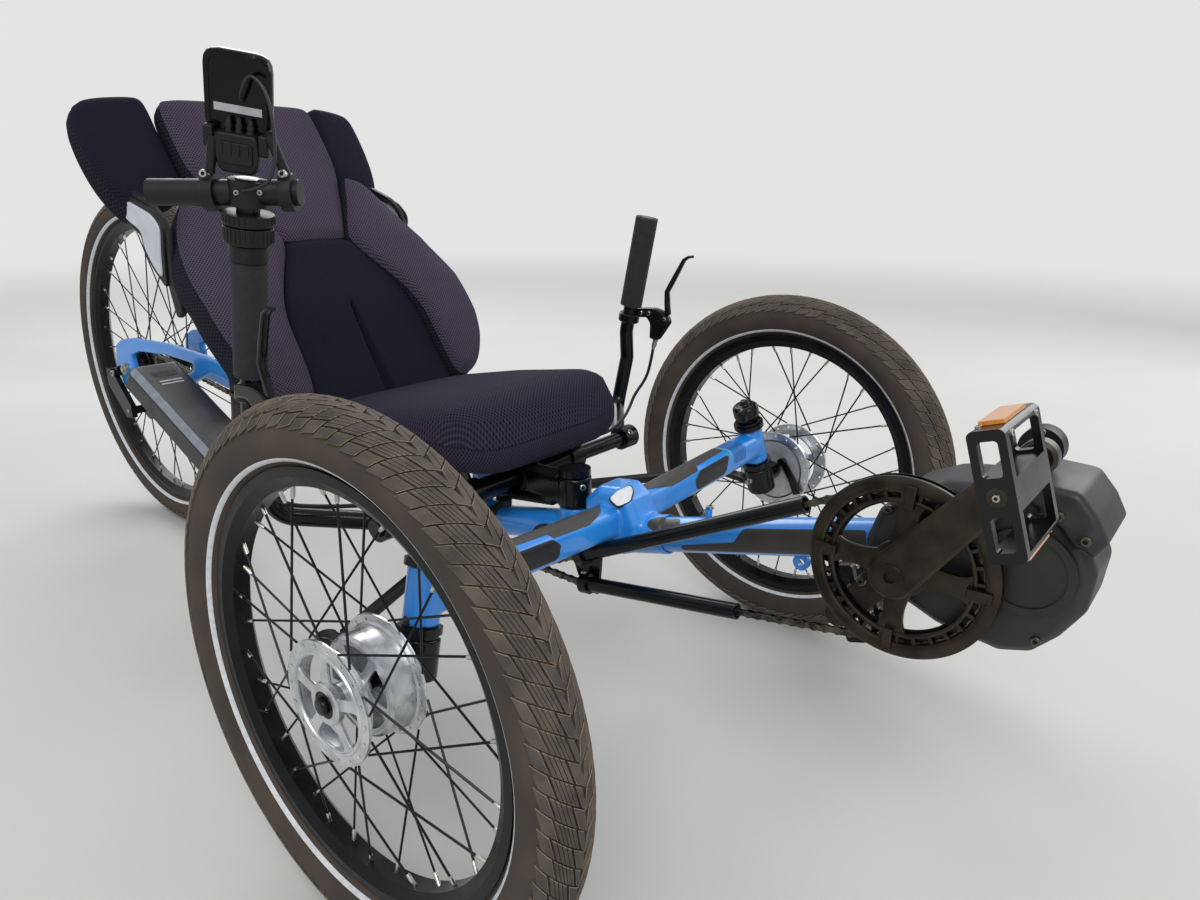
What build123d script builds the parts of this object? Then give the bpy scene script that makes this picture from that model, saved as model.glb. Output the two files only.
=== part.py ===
from build123d import *
from math import asin, atan2, cos, pi, radians, sin, tan
import os

os.makedirs("parts", exist_ok=True)

# Recumbent trike, millimetres: X forward, Y to the rider's left, Z up, floor at Z 0.
# Places along the trike are counted forward from the front axle line.
FRONT_X = 507.0
WHEELBASE = 1188.0
TRACK = 814.5
FRONT_TYRE_R = 268.0
REAR_TYRE_R = 337.6
FRONT_BEAD_R = 203.0
REAR_BEAD_R = 279.5
TYRE_HALF = 28.4
RUN_GAP = 0.05
SEAT_GAP = 0.3
AXLE_X = -WHEELBASE
AXLE_Z = REAR_TYRE_R
TYRE_FRONT = AXLE_X + REAR_TYRE_R

# Steering
KINGPIN_BACK = 8.8
KINGPIN_SPREAD = TRACK / 2 - 87.45
KINGPIN_REF_Z = 320.0
CASTOR = 6.05
LEAN = 17.0
PIVOT_BACK = 90.0
LEVER_BACK = 190.0
LEVER_HALF = 30.0
LEVER_EYE_Z = 288.0
ARM_BACK = 120.0
ARM_OUT = TRACK / 2 - 49.25
STUB_ROOT = TRACK / 2 - 69.25
ARM_EYE_Z = 240.0
SWING_TILT = 0.1008
SWING_SIDEWAYS = 0.0038

# Drive
CRANK_AHEAD = 352.0
CRANK_Z = 362.0
CRANK_LENGTH = 170.0
CRANK_ANGLE = 52.5
CHAIN_LINE = 50.0
CHAIN_PITCH = 12.7
RING_TEETH = 38
COG_TEETH = 23


def spot(ahead, left, up):
    """A point given from the front axle line, the middle plane and the floor."""
    return Vector(FRONT_X + ahead, left, up)


def side_plane(left):
    """Upright plane along the trike: local x counts forward from the front axle, local y up."""
    return Plane(origin=(FRONT_X, left, 0), x_dir=(1, 0, 0), z_dir=(0, -1, 0))


def wheel_plane(ahead, left, up):
    """Plane through a wheel's centre: local x to the left, local y is the radius."""
    return Plane(origin=spot(ahead, left, up), x_dir=(0, 1, 0), z_dir=(1, 0, 0))


def kingpin_plane(side, along):
    """Plane square to a kingpin, this far up its axis from the middle of the head tube."""
    rise = HEAD_MID_Z - KINGPIN_REF_Z
    middle = spot(
        -KINGPIN_BACK - rise * tan(radians(CASTOR)),
        side * (KINGPIN_SPREAD - rise * tan(radians(LEAN))),
        HEAD_MID_Z,
    )
    axis = Vector(-tan(radians(CASTOR)), -side * tan(radians(LEAN)), 1).normalized()
    return Plane(origin=middle + axis * along, x_dir=(0, 1, side * tan(radians(LEAN))), z_dir=axis)


def swing_axis(side):
    """Heading of the bolt on which a tie rod's inner eye turns."""
    return Vector(SWING_TILT, side * SWING_SIDEWAYS, 1).normalized()


def bar(start, end, outer_r, inner_r=0.0, mode=Mode.ADD):
    """Straight round bar or tube between two points, added to the open piece."""
    run = Vector(*end) - Vector(*start)
    with BuildSketch(Plane(origin=start, z_dir=run)) as section:
        Circle(outer_r)
        if inner_r:
            Circle(inner_r, mode=Mode.SUBTRACT)
    extrude(section.sketch, amount=run.length, mode=mode)


def bent_bar(points, bend_r, outer_r, mode=Mode.ADD):
    """Round bar that follows straight runs joined by arcs."""
    with BuildLine() as route:
        FilletPolyline(*points, radius=bend_r)
    with BuildSketch(Plane(origin=route.line @ 0, z_dir=route.line % 0)) as section:
        Circle(outer_r)
    sweep(section.sketch, path=route.line, mode=mode)


def box_bar(start, end, wide, tall, corner):
    """Straight bar of rounded rectangular section between two points, level from side to side."""
    run = Vector(*end) - Vector(*start)
    with BuildSketch(Plane(origin=start, x_dir=Vector(0, 0, 1).cross(run), z_dir=run)) as section:
        RectangleRounded(wide, tall, corner)
    extrude(section.sketch, amount=run.length)


def slab(outline, left, thickness, mode=Mode.ADD):
    """Side outline given as (ahead, up) points, made this thick towards the right."""
    with BuildSketch(side_plane(left)) as face:
        with BuildLine():
            Polyline(*outline, close=True)
        make_face()
    extrude(face.sketch, amount=thickness, mode=mode)


def save(piece, name):
    """Label a finished piece and write it."""
    piece.part.label = name
    export_step(piece.part, f"parts/{name}.step")


# Head tubes and kingpins
HEAD_MID_Z = 322.5
HEAD_LENGTH = 58.0
HEAD_R = 18.0
HEAD_BORE_R = 15.5
STEERER_R = 12.7
CUP_HEIGHT = 11.0
CUP_R = 22.0
CAP_BASE = 47.0
CAP_TOP = 66.0
CAP_R = 19.0
CAP_NECK_R = 15.5
CAP_BUTTON_R = 6.0
CAP_TAB = 17.0
CAP_STEP = 8.0

# Frame tubes
MAIN_R = 21.0
ARM_WIDE = 36.0
ARM_TALL = 38.0
ARM_CORNER = 11.0
NODE_HALF = 27.0
NODE_OUTLINE = (
    (-56, 322), (-34, 344), (-2, 348), (16, 336), (32, 306), (28, 272), (4, 262), (-34, 262), (-54, 286),
)
BOOM_R = 21.0
SLEEVE_R = 24.0
NODE_BACK = 13.0
NODE_Z = 304.0
ARM_END_Z = 321.0
BOOM_START = (27.0, 290.0)
BOOM_END = (318.0, 363.9)
SLEEVE_START_X = -10.0
SLEEVE_END_X = 60.0
MAIN_NODES = ((-17.0, 285.0), (-207.0, 247.0), (-392.0, 247.0))
FOLD_X = -407.0
FOLD_HALF = 15.0
TAIL_NODES = ((-422.0, 247.0), (TYRE_FRONT + 243.4, 247.0), (TYRE_FRONT + 93.4, 262.0))
PIVOT_BOSS_R = 20.0
PIVOT_PIN_R = 10.0
PIVOT_BOSS_TOP = 299.7
PIVOT_PIN_TOP = 341.0
RING_R = 21.0
BRACKET_BACK = 261.0

boom_slope = (BOOM_END[1] - BOOM_START[1]) / (BOOM_END[0] - BOOM_START[0])


def boom_spot(ahead, left=0.0, above=0.0):
    """Point on the boom's axis at this place along the trike."""
    return spot(ahead, left, BOOM_START[1] + (ahead - BOOM_START[0]) * boom_slope + above)


# Cross frame: node, cross arms with head tubes, boom sleeve and the front of the main tube
with BuildPart() as cross_frame:
    slab(NODE_OUTLINE, NODE_HALF, 2 * NODE_HALF)
    chamfer(cross_frame.faces().filter_by(Axis.Y).edges(), 8)
    bar(boom_spot(SLEEVE_START_X - 20), boom_spot(SLEEVE_END_X), SLEEVE_R)
    for side in (1, -1):
        head = kingpin_plane(side, 0).origin
        box_bar(spot(-NODE_BACK, 0, NODE_Z), (head.X, head.Y, ARM_END_Z), ARM_WIDE, ARM_TALL, ARM_CORNER)
        with BuildSketch(kingpin_plane(side, -HEAD_LENGTH / 2)) as ring:
            Circle(HEAD_R)
        extrude(ring.sketch, amount=HEAD_LENGTH)
    for start, end in zip(MAIN_NODES[:-1], MAIN_NODES[1:]):
        bar(spot(start[0], 0, start[1]), spot(end[0], 0, end[1]), MAIN_R)
    with Locations(spot(*(MAIN_NODES[1][0], 0, MAIN_NODES[1][1])), spot(-NODE_BACK - 4, 0, MAIN_NODES[0][1])):
        Sphere(MAIN_R)
    with BuildSketch(Plane.XY.offset(MAIN_NODES[1][1])) as boss:
        with Locations((FRONT_X - PIVOT_BACK, 0)):
            Circle(PIVOT_BOSS_R)
    extrude(boss.sketch, amount=PIVOT_BOSS_TOP - MAIN_NODES[1][1])
    with BuildSketch(Plane.XY.offset(PIVOT_BOSS_TOP)) as pin:
        with Locations((FRONT_X - PIVOT_BACK, 0)):
            Circle(PIVOT_PIN_R)
    extrude(pin.sketch, amount=PIVOT_PIN_TOP - PIVOT_BOSS_TOP)
    with BuildSketch(Plane.XY.offset(MAIN_NODES[1][1])) as bracket:
        with Locations((FRONT_X - BRACKET_BACK, 0)):
            Rectangle(14, 30)
    extrude(bracket.sketch, amount=341.0 - SEAT_GAP - MAIN_NODES[1][1])
    for side in (1, -1):
        with BuildSketch(kingpin_plane(side, -HEAD_LENGTH / 2)) as bore:
            Circle(HEAD_BORE_R)
        extrude(bore.sketch, amount=HEAD_LENGTH, mode=Mode.SUBTRACT)
    bar(boom_spot(SLEEVE_START_X), boom_spot(SLEEVE_END_X + 10), BOOM_R + RUN_GAP, mode=Mode.SUBTRACT)
save(cross_frame, "cross_frame")

# Headset cups, pressed on both ends of each head tube, and the ring on the steering pivot's pin
with BuildPart() as headset_cups:
    for side in (1, -1):
        for foot, away in ((HEAD_LENGTH / 2, 1), (-HEAD_LENGTH / 2, -1)):
            for radius, height in ((CUP_R, CUP_HEIGHT - 4), (CUP_R - 3, CUP_HEIGHT)):
                with BuildSketch(kingpin_plane(side, foot)) as cup:
                    Circle(radius)
                    Circle(STEERER_R + RUN_GAP, mode=Mode.SUBTRACT)
                extrude(cup.sketch, amount=away * height)
    bar(spot(-PIVOT_BACK, 0, PIVOT_PIN_TOP + SEAT_GAP), spot(-PIVOT_BACK, 0, PIVOT_PIN_TOP + 9), RING_R)
save(headset_cups, "headset_cups")

# Boom, which slides in the sleeve and carries the motor, with a lamp post and a cable eye
POST_AHEAD = 112.0
POST_TOP = 346.0
EYE_AHEAD = 230.0
EYE_R = 9.0
with BuildPart() as boom:
    bar(boom_spot(SLEEVE_START_X + 1), boom_spot(BOOM_END[0]), BOOM_R)
    post_foot = boom_spot(POST_AHEAD)
    bar(post_foot, (post_foot.X, 0, POST_TOP), 4.0)
    eye = boom_spot(EYE_AHEAD, above=-BOOM_R - EYE_R + 1)
    bar((eye.X, 3, eye.Z), (eye.X, -3, eye.Z), EYE_R)
    bar((eye.X, 4, eye.Z), (eye.X, -4, eye.Z), 4.0, mode=Mode.SUBTRACT)
save(boom, "boom")

# Fold hinge: black block between the two halves of the main tube
with BuildPart() as fold_hinge:
    with BuildSketch(side_plane(26.0)) as block:
        with Locations((FOLD_X, MAIN_NODES[2][1])):
            RectangleRounded(2 * FOLD_HALF, 56.0, 5.0)
    extrude(block.sketch, amount=52.0)
save(fold_hinge, "fold_hinge")

# Rear frame: back half of the main tube, the swingarm's pivot lugs and the spring seat
SWING_PIVOT = (TYRE_FRONT + 60.4, 268.0)
SWING_PIN_R = 8.0
LUG_INNER = 28.0
LUG_THICK = 7.0
SPRING_FRONT = TYRE_FRONT + 126.1
SPRING_REAR = TYRE_FRONT + 52.1
SPRING_Z = AXLE_Z + 46.4
BOSS_X = TYRE_FRONT + 105.4
SPRING_R = 11.0
LUG_OUTLINE = (
    (BOSS_X + 15, 245), (BOSS_X + 15, 283), (BOSS_X - 45, 286), (BOSS_X - 63, 275), (BOSS_X - 63, 258),
    (BOSS_X - 45, 250),
)
SEAT_OUTLINE = (
    (SPRING_FRONT + 2.3, 262), (SPRING_FRONT + 24.3, 262), (SPRING_FRONT + 18.3, SPRING_Z + 12),
    (SPRING_FRONT + 0.3, SPRING_Z + 12),
)
with BuildPart() as rear_frame:
    for start, end in zip(TAIL_NODES[:-1], TAIL_NODES[1:]):
        bar(spot(start[0], 0, start[1]), spot(end[0], 0, end[1]), MAIN_R)
    with Locations(spot(TAIL_NODES[1][0], 0, TAIL_NODES[1][1])):
        Sphere(MAIN_R)
    bar(spot(BOSS_X, LUG_INNER + LUG_THICK, 262), spot(BOSS_X, -LUG_INNER - LUG_THICK, 262), MAIN_R)
    for left in (LUG_INNER + LUG_THICK, -LUG_INNER):
        slab(LUG_OUTLINE, left, LUG_THICK)
    bar(spot(SWING_PIVOT[0], 50, SWING_PIVOT[1]), spot(SWING_PIVOT[0], -50, SWING_PIVOT[1]),
        SWING_PIN_R + RUN_GAP, mode=Mode.SUBTRACT)
    slab(SEAT_OUTLINE, 16.0, 32.0)
save(rear_frame, "rear_frame")

# Swingarm: two deep side plates with a long opening, joined ahead of the tyre and pivoted below
SWING_SIDE = 76.0
SWING_THICK = 12.0
YOKE_X = TYRE_FRONT + 35.4
YOKE_Z = AXLE_Z + 48.4
YOKE_R = 13.0
DROPOUT_R = 7.0
# Side plate: dropout at the axle, an arched upper beam to the yoke and a thinner lower strut
SWING_TOP = (
    (AXLE_X - 47, AXLE_Z + 6), (AXLE_X - 36, AXLE_Z + 44), (AXLE_X - 8, AXLE_Z + 58), (AXLE_X + 41, AXLE_Z + 66),
    (AXLE_X + 180, AXLE_Z + 72), (YOKE_X - 30, AXLE_Z + 66), (YOKE_X + 13, AXLE_Z + 60),
)
SWING_BOTTOM = (
    (YOKE_X + 13, AXLE_Z + 35), (YOKE_X - 47, AXLE_Z + 38), (AXLE_X + 210, AXLE_Z - 14), (AXLE_X + 124, AXLE_Z - 50),
    (AXLE_X + 46, AXLE_Z - 42), (AXLE_X - 27, AXLE_Z - 38),
)
SWING_WINDOW = (
    (AXLE_X + 26, AXLE_Z + 30), (AXLE_X + 60, AXLE_Z + 42), (AXLE_X + 180, AXLE_Z + 50), (YOKE_X - 76, AXLE_Z + 46),
    (AXLE_X + 190, AXLE_Z + 2), (AXLE_X + 124, AXLE_Z - 24), (AXLE_X + 40, AXLE_Z - 20),
)
YOKE_LINK = (
    (YOKE_X - 13, YOKE_Z + 4), (YOKE_X + 13, YOKE_Z + 4), (SWING_PIVOT[0] + 12, 270), (SWING_PIVOT[0] - 10, 262),
)
with BuildPart() as swingarm:
    for left in (SWING_SIDE, -SWING_SIDE + SWING_THICK):
        slab((*SWING_TOP, *SWING_BOTTOM), left, SWING_THICK)
        slab(SWING_WINDOW, left, SWING_THICK, mode=Mode.SUBTRACT)
    fillet(swingarm.edges().filter_by(Axis.Y), 6)
    chamfer(swingarm.faces().filter_by(Axis.Y).edges(), 1.5)
    bar(spot(YOKE_X, SWING_SIDE, YOKE_Z), spot(YOKE_X, -SWING_SIDE, YOKE_Z), YOKE_R)
    slab(YOKE_LINK, 24.0, 48.0)
    bar(spot(SWING_PIVOT[0], LUG_INNER - SEAT_GAP, SWING_PIVOT[1]),
        spot(SWING_PIVOT[0], -LUG_INNER + SEAT_GAP, SWING_PIVOT[1]), 16.0)
    bar(spot(SWING_PIVOT[0], LUG_INNER + LUG_THICK, SWING_PIVOT[1]),
        spot(SWING_PIVOT[0], -LUG_INNER - LUG_THICK, SWING_PIVOT[1]), SWING_PIN_R)
    bar(spot(-WHEELBASE, 90, REAR_TYRE_R), spot(-WHEELBASE, -90, REAR_TYRE_R),
        DROPOUT_R + RUN_GAP, mode=Mode.SUBTRACT)
save(swingarm, "swingarm")

# Rubber spring between the rear frame and the swingarm's yoke
with BuildPart() as rubber_spring:
    bar(spot(SPRING_FRONT, 0, SPRING_Z), spot(SPRING_REAR, 0, SPRING_Z), SPRING_R)
save(rubber_spring, "rubber_spring")

# Wheels: tyre, rim with its spokes, hub
TYRE_WALL = 4.0
BEAD_HALF = 12.2
LIP_RISE = 8.0
TREAD_HALF = 24.0
SHOULDER_DROP = 12.0
RIM_HALF = 15.5
RIM_WELL_HALF = 9.0
RIM_DEPTH = 13.0
SPOKES = 36
SPOKE_R = 1.2
SPOKE_SLANT = 38.0
FRONT_FLANGE_R = 59.0
FRONT_FLANGE_HALF = 30.0
REAR_FLANGE_R = 31.0
REAR_FLANGE_HALF = 34.0
FLANGE_THICK = 3.5


def tyre_ring(half, foot, lip, belly, shoulder_half, shoulder, crown):
    """Closed outline of a tyre's section, in (side, radius) from the wheel's centre."""
    with BuildLine() as outline:
        Line((-half, foot), (half, foot))
        Line((half, foot), (half, lip))
        ThreePointArc((half, lip), (belly, (lip + shoulder) / 2), (shoulder_half, shoulder))
        ThreePointArc((shoulder_half, shoulder), (0, crown), (-shoulder_half, shoulder))
        ThreePointArc((-shoulder_half, shoulder), (-belly, (lip + shoulder) / 2), (-half, lip))
        Line((-half, lip), (-half, foot))
    return outline.line.edges()


def rim_ring(bead_r):
    """Box section of a rim with two hooked flanges."""
    seat_r = bead_r - SEAT_GAP
    inside = BEAD_HALF + SEAT_GAP
    with BuildLine() as outline:
        Polyline(
            (RIM_HALF, bead_r + LIP_RISE - 2), (RIM_HALF, bead_r - 3), (RIM_WELL_HALF, bead_r - RIM_DEPTH),
            (-RIM_WELL_HALF, bead_r - RIM_DEPTH), (-RIM_HALF, bead_r - 3), (-RIM_HALF, bead_r + LIP_RISE - 2),
            (-inside, bead_r + LIP_RISE - 2), (-inside, seat_r), (inside, seat_r), (inside, bead_r + LIP_RISE - 2),
            close=True,
        )
    return outline.line.edges()


def wheel(name, ahead, left, tyre_r, bead_r, flange_r, flange_half):
    """Tyre and spoked rim of one wheel, turning about its axle at the height of the tyre's radius."""
    centre = wheel_plane(ahead, left, tyre_r)
    axle = Axis(centre.origin, (0, 1, 0))
    with BuildPart() as tyre:
        with BuildSketch(centre) as section:
            make_face(tyre_ring(BEAD_HALF, bead_r, bead_r + LIP_RISE, TYRE_HALF, TREAD_HALF,
                                tyre_r - SHOULDER_DROP, tyre_r))
            make_face(tyre_ring(BEAD_HALF - TYRE_WALL, bead_r - 1, bead_r + LIP_RISE + 2, TYRE_HALF - TYRE_WALL,
                                TREAD_HALF - TYRE_WALL, tyre_r - SHOULDER_DROP - 6, tyre_r - 8), mode=Mode.SUBTRACT)
        revolve(section.sketch, axis=axle)
    save(tyre, f"tyre_{name}")

    with BuildPart() as spokes:
        start_r = flange_r + SPOKE_R + SEAT_GAP
        end_r = bead_r - RIM_DEPTH + 3
        for flange, turns in ((1, (0.0, 2.0)), (-1, (1.0, 3.0))):
            for order, turn in enumerate(turns):
                rim_turn = radians(turn * 360 / SPOKES)
                hub_turn = rim_turn + radians(SPOKE_SLANT) * (1 if order else -1)
                start = Vector(start_r * cos(hub_turn), start_r * sin(hub_turn), flange * flange_half)
                end = Vector(end_r * cos(rim_turn), end_r * sin(rim_turn), flange * 2)
                with BuildSketch(Plane(origin=start, z_dir=end - start)) as wire:
                    RegularPolygon(SPOKE_R, 6)
                extrude(wire.sketch, amount=(end - start).length)
    with BuildPart() as rim:
        with BuildSketch(centre) as section:
            make_face(rim_ring(bead_r))
        revolve(section.sketch, axis=axle)
        with Locations(Location(Plane(origin=centre.origin, x_dir=(1, 0, 0), z_dir=(0, 1, 0)))):
            with PolarLocations(0, SPOKES // 4):
                add(spokes.part)
    save(rim, f"rim_{name}")


wheel("left", 0, TRACK / 2, FRONT_TYRE_R, FRONT_BEAD_R, FRONT_FLANGE_R, FRONT_FLANGE_HALF)
wheel("right", 0, -TRACK / 2, FRONT_TYRE_R, FRONT_BEAD_R, FRONT_FLANGE_R, FRONT_FLANGE_HALF)
wheel("rear", -WHEELBASE, 0, REAR_TYRE_R, REAR_BEAD_R, REAR_FLANGE_R, REAR_FLANGE_HALF)

# Front hubs with their brake drums, and the brake plates that close the drums
STUB_R = 8.0
DRUM_R = 49.0
DRUM_BORE_R = 45.0
DRUM_STEP_R = 44.0
HUB_NOSE_R = 19.0
HUB_NOSE = 6.0
BRAKE_PLATE_R = 44.5
BRAKE_PLATE_THICK = 6.0
PLATE_INSIDE = 2.0
FLANGE_WINDOWS = 5
for side, name in ((1, "left"), (-1, "right")):
    centre = wheel_plane(0, side * TRACK / 2, FRONT_TYRE_R)
    axle = Axis(centre.origin, (0, 1, 0))
    inner = -FRONT_FLANGE_HALF - FLANGE_THICK / 2
    outer = FRONT_FLANGE_HALF - FLANGE_THICK / 2
    with BuildPart() as hub:
        with BuildSketch(centre) as section:
            with BuildLine():
                Polyline(*[(side * along, radius) for along, radius in (
                    (inner, DRUM_BORE_R), (inner, FRONT_FLANGE_R), (inner + FLANGE_THICK, FRONT_FLANGE_R),
                    (inner + FLANGE_THICK, DRUM_R), (inner + 24, DRUM_R), (inner + 24, DRUM_STEP_R),
                    (inner + 36, DRUM_STEP_R - 3), (inner + 42, HUB_NOSE_R + 3), (outer, HUB_NOSE_R),
                    (outer, FRONT_FLANGE_R), (outer + FLANGE_THICK, FRONT_FLANGE_R),
                    (outer + FLANGE_THICK, HUB_NOSE_R), (outer + HUB_NOSE, HUB_NOSE_R - 2),
                    (outer + HUB_NOSE, STUB_R + RUN_GAP), (inner + 14, STUB_R + RUN_GAP), (inner + 14, DRUM_BORE_R),
                )], close=True)
            make_face()
        revolve(section.sketch, axis=axle)
        with BuildSketch(Plane(origin=centre.origin + Vector(0, side * outer, 0),
                               x_dir=(1, 0, 0), z_dir=(0, side, 0))) as windows:
            with PolarLocations(0, FLANGE_WINDOWS, start_angle=18):
                with BuildLine():
                    Polyline((26, 4), (42, 15), (45, 8), (46, 0), (45, -8), (42, -15), (26, -4), close=True)
                make_face()
        extrude(windows.sketch, amount=FLANGE_THICK, mode=Mode.SUBTRACT)
    save(hub, f"hub_{name}")

    # Brake plate, fixed to the knuckle, with its cam lever
    plate_left = side * (TRACK / 2 + inner)
    with BuildPart() as brake_plate:
        plate_edge = plate_left - side * PLATE_INSIDE
        bar(spot(0, plate_edge, FRONT_TYRE_R), spot(0, plate_edge + side * BRAKE_PLATE_THICK, FRONT_TYRE_R),
            BRAKE_PLATE_R, STUB_R + RUN_GAP)
    save(brake_plate, f"brake_plate_{name}")

    with BuildPart() as brake_cam:
        cam_left = plate_edge - side * SEAT_GAP
        bar(spot(17, cam_left, 285), spot(17, cam_left - side * 9, 285), 6.0)
        slab(((12, 286), (22, 288), (40, 262), (50, 240), (40, 236), (30, 258)),
             cam_left - side * 3 + 2, 4.0)
    save(brake_cam, f"brake_cam_{name}")

# Knuckles: steerer in the head tube, axle boss, stub axle and steering arm
KNUCKLE_R = 21.0
ARM_BOLTS = ((-34.0, 344.0, 248.0), (-58.0, 348.0, 248.0))
KNUCKLE_DROP = 40.0
ARM_BAR_Z = 250.0
ARM_BAR_THICK = 8.0
ARM_BAR_HALF = 9.0
EYE_BOLT_R = 4.0
AXLE_END = 10.0
for side, name in ((1, "left"), (-1, "right")):
    low = -HEAD_LENGTH / 2 - CUP_HEIGHT - SEAT_GAP
    with BuildPart() as knuckle:
        with BuildSketch(kingpin_plane(side, low)) as steerer:
            Circle(STEERER_R)
        extrude(steerer.sketch, amount=CAP_BASE - low)
        with BuildSketch(kingpin_plane(side, low)) as casting:
            Circle(KNUCKLE_R)
        extrude(casting.sketch, amount=-KNUCKLE_DROP)
        with BuildSketch(kingpin_plane(side, CAP_BASE)) as cap:
            Circle(CAP_R)
            with Locations((-side * CAP_TAB, -6)):
                Rectangle(14, 12)
        extrude(cap.sketch, amount=CAP_TOP - CAP_BASE)
        chamfer(knuckle.faces().sort_by(Axis.Z)[-1].edges(), 4)
        for height, radius in ((HEAD_LENGTH / 2 + CUP_HEIGHT + SEAT_GAP, CAP_NECK_R), (CAP_TOP - 1, CAP_BUTTON_R)):
            with BuildSketch(kingpin_plane(side, height)) as step:
                Circle(radius)
            extrude(step.sketch, amount=CAP_STEP)
        stub_start = spot(0, side * STUB_ROOT, FRONT_TYRE_R)
        plate_y = side * (TRACK / 2 - FRONT_FLANGE_HALF - FLANGE_THICK / 2 - 2 - SEAT_GAP)
        bar(stub_start, spot(0, side * (TRACK / 2 + FRONT_FLANGE_HALF + AXLE_END), FRONT_TYRE_R), STUB_R)
        bar(stub_start, (FRONT_X, plate_y, FRONT_TYRE_R), 14.0)
        low_point = kingpin_plane(side, low - KNUCKLE_DROP + 10).origin
        with BuildSketch(Plane.XY.offset(ARM_BAR_Z)) as arm_plan:
            with BuildLine():
                Polyline(
                    (low_point.X, low_point.Y + 14), (low_point.X, low_point.Y - 14),
                    (FRONT_X - ARM_BACK, side * ARM_OUT - ARM_BAR_HALF),
                    (FRONT_X - ARM_BACK, side * ARM_OUT + ARM_BAR_HALF), close=True,
                )
            make_face()
            with Locations((FRONT_X - ARM_BACK, side * ARM_OUT)):
                Circle(ARM_BAR_HALF + 2)
        extrude(arm_plan.sketch, amount=ARM_BAR_THICK)
        rib = spot(0, side * (STUB_ROOT + 4), FRONT_TYRE_R)
        box_bar(rib, kingpin_plane(side, low - 17).origin, 30.0, 26.0, 6.0)
        for back, out, height in ARM_BOLTS:
            bolt = spot(back, side * out, height)
            bar(bolt, bolt + Vector(0, 0, 14), 5.5)
        bar(spot(-ARM_BACK, side * ARM_OUT, ARM_BAR_Z), spot(-ARM_BACK, side * ARM_OUT, ARM_EYE_Z - 8), EYE_BOLT_R)
    save(knuckle, f"knuckle_{name}")


# Tie rods: the inner eye turns on the lever's bolt, the outer eye stands clear round the arm's bolt
ROD_R = 7.5
EYE_OUTER_R = 11.0
EYE_HALF = 5.0
OPEN_EYE_R = 6.8
for side, name in ((1, "left"), (-1, "right")):
    inner_eye = spot(-LEVER_BACK, side * LEVER_HALF, LEVER_EYE_Z)
    outer_eye = spot(-ARM_BACK, side * ARM_OUT, ARM_EYE_Z)
    run = (outer_eye - inner_eye).normalized()
    with BuildPart() as tie_rod:
        bar(inner_eye + run * 6, outer_eye - run * 8, 5.0)
        bar(inner_eye + run * 26, outer_eye - run * 26, ROD_R)
        bolt = swing_axis(side)
        bar(inner_eye - bolt * EYE_HALF, inner_eye + bolt * EYE_HALF, EYE_OUTER_R)
        bar(outer_eye - Vector(0, 0, EYE_HALF), outer_eye + Vector(0, 0, EYE_HALF), EYE_OUTER_R)
        bar(inner_eye - bolt * 9, inner_eye + bolt * 9, EYE_BOLT_R + RUN_GAP, mode=Mode.SUBTRACT)
        bar(outer_eye - Vector(0, 0, 9), outer_eye + Vector(0, 0, 9), OPEN_EYE_R, mode=Mode.SUBTRACT)
    save(tie_rod, f"tie_rod_{name}")

# Handlebar under the seat: stem with steering lever, cross bar, risers, grips and levers
STEM_BASE = 300.0
STEM_TOP = 340.0
STEM_R = 22.0
BAR_BACK = 182.0
BAR_Z = 320.0
BAR_R = 11.1
BAR_SLEEVE_R = 15.0
BAR_SLEEVE_HALF = 110.0
BAR_HALF = 246.0
RING_IN = 86.0
RING_OUT = 112.0
RING_CLAMP_R = 19.0
FIN_OUTLINE = ((-172, 334), (-184, 352), (-200, 354), (-212, 346), (-200, 322))
LEVER_TOP = 303.5
LEVER_THICK = 8.5
with BuildPart() as stem:
    bar(spot(-PIVOT_BACK, 0, STEM_BASE), spot(-PIVOT_BACK, 0, STEM_TOP), STEM_R)
    with BuildSketch(Plane.XY.offset(LEVER_TOP - 0.5)) as web:
        with BuildLine():
            Polyline((FRONT_X - PIVOT_BACK, 18), (FRONT_X - PIVOT_BACK, -18),
                     (FRONT_X - BAR_BACK, -16), (FRONT_X - BAR_BACK, 16), close=True)
        make_face()
    extrude(web.sketch, amount=32)
    bar(spot(-BAR_BACK, 18, BAR_Z), spot(-BAR_BACK, -18, BAR_Z), BAR_SLEEVE_R + 5)
    with BuildSketch(Plane.XY.offset(LEVER_TOP - LEVER_THICK)) as lever:
        with BuildLine():
            Polyline(
                (FRONT_X - PIVOT_BACK - STEM_R - 3, 14), (FRONT_X - PIVOT_BACK - STEM_R - 3, -14),
                (FRONT_X - LEVER_BACK - 9, -LEVER_HALF - 8), (FRONT_X - LEVER_BACK - 9, LEVER_HALF + 8), close=True,
            )
        make_face()
    extrude(lever.sketch, amount=LEVER_THICK)
    bar(spot(-PIVOT_BACK, 0, STEM_BASE - 10), spot(-PIVOT_BACK, 0, STEM_TOP + 1), PIVOT_PIN_R + RUN_GAP,
        mode=Mode.SUBTRACT)
    bar(spot(-BAR_BACK, 40, BAR_Z), spot(-BAR_BACK, -40, BAR_Z), BAR_SLEEVE_R + RUN_GAP, mode=Mode.SUBTRACT)
    for side in (1, -1):
        eye = spot(-LEVER_BACK, side * LEVER_HALF, LEVER_EYE_Z)
        bar(eye + swing_axis(side) * (LEVER_TOP - LEVER_THICK + 1 - LEVER_EYE_Z), eye - swing_axis(side) * 8,
            EYE_BOLT_R)
save(stem, "handlebar_stem")

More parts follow.
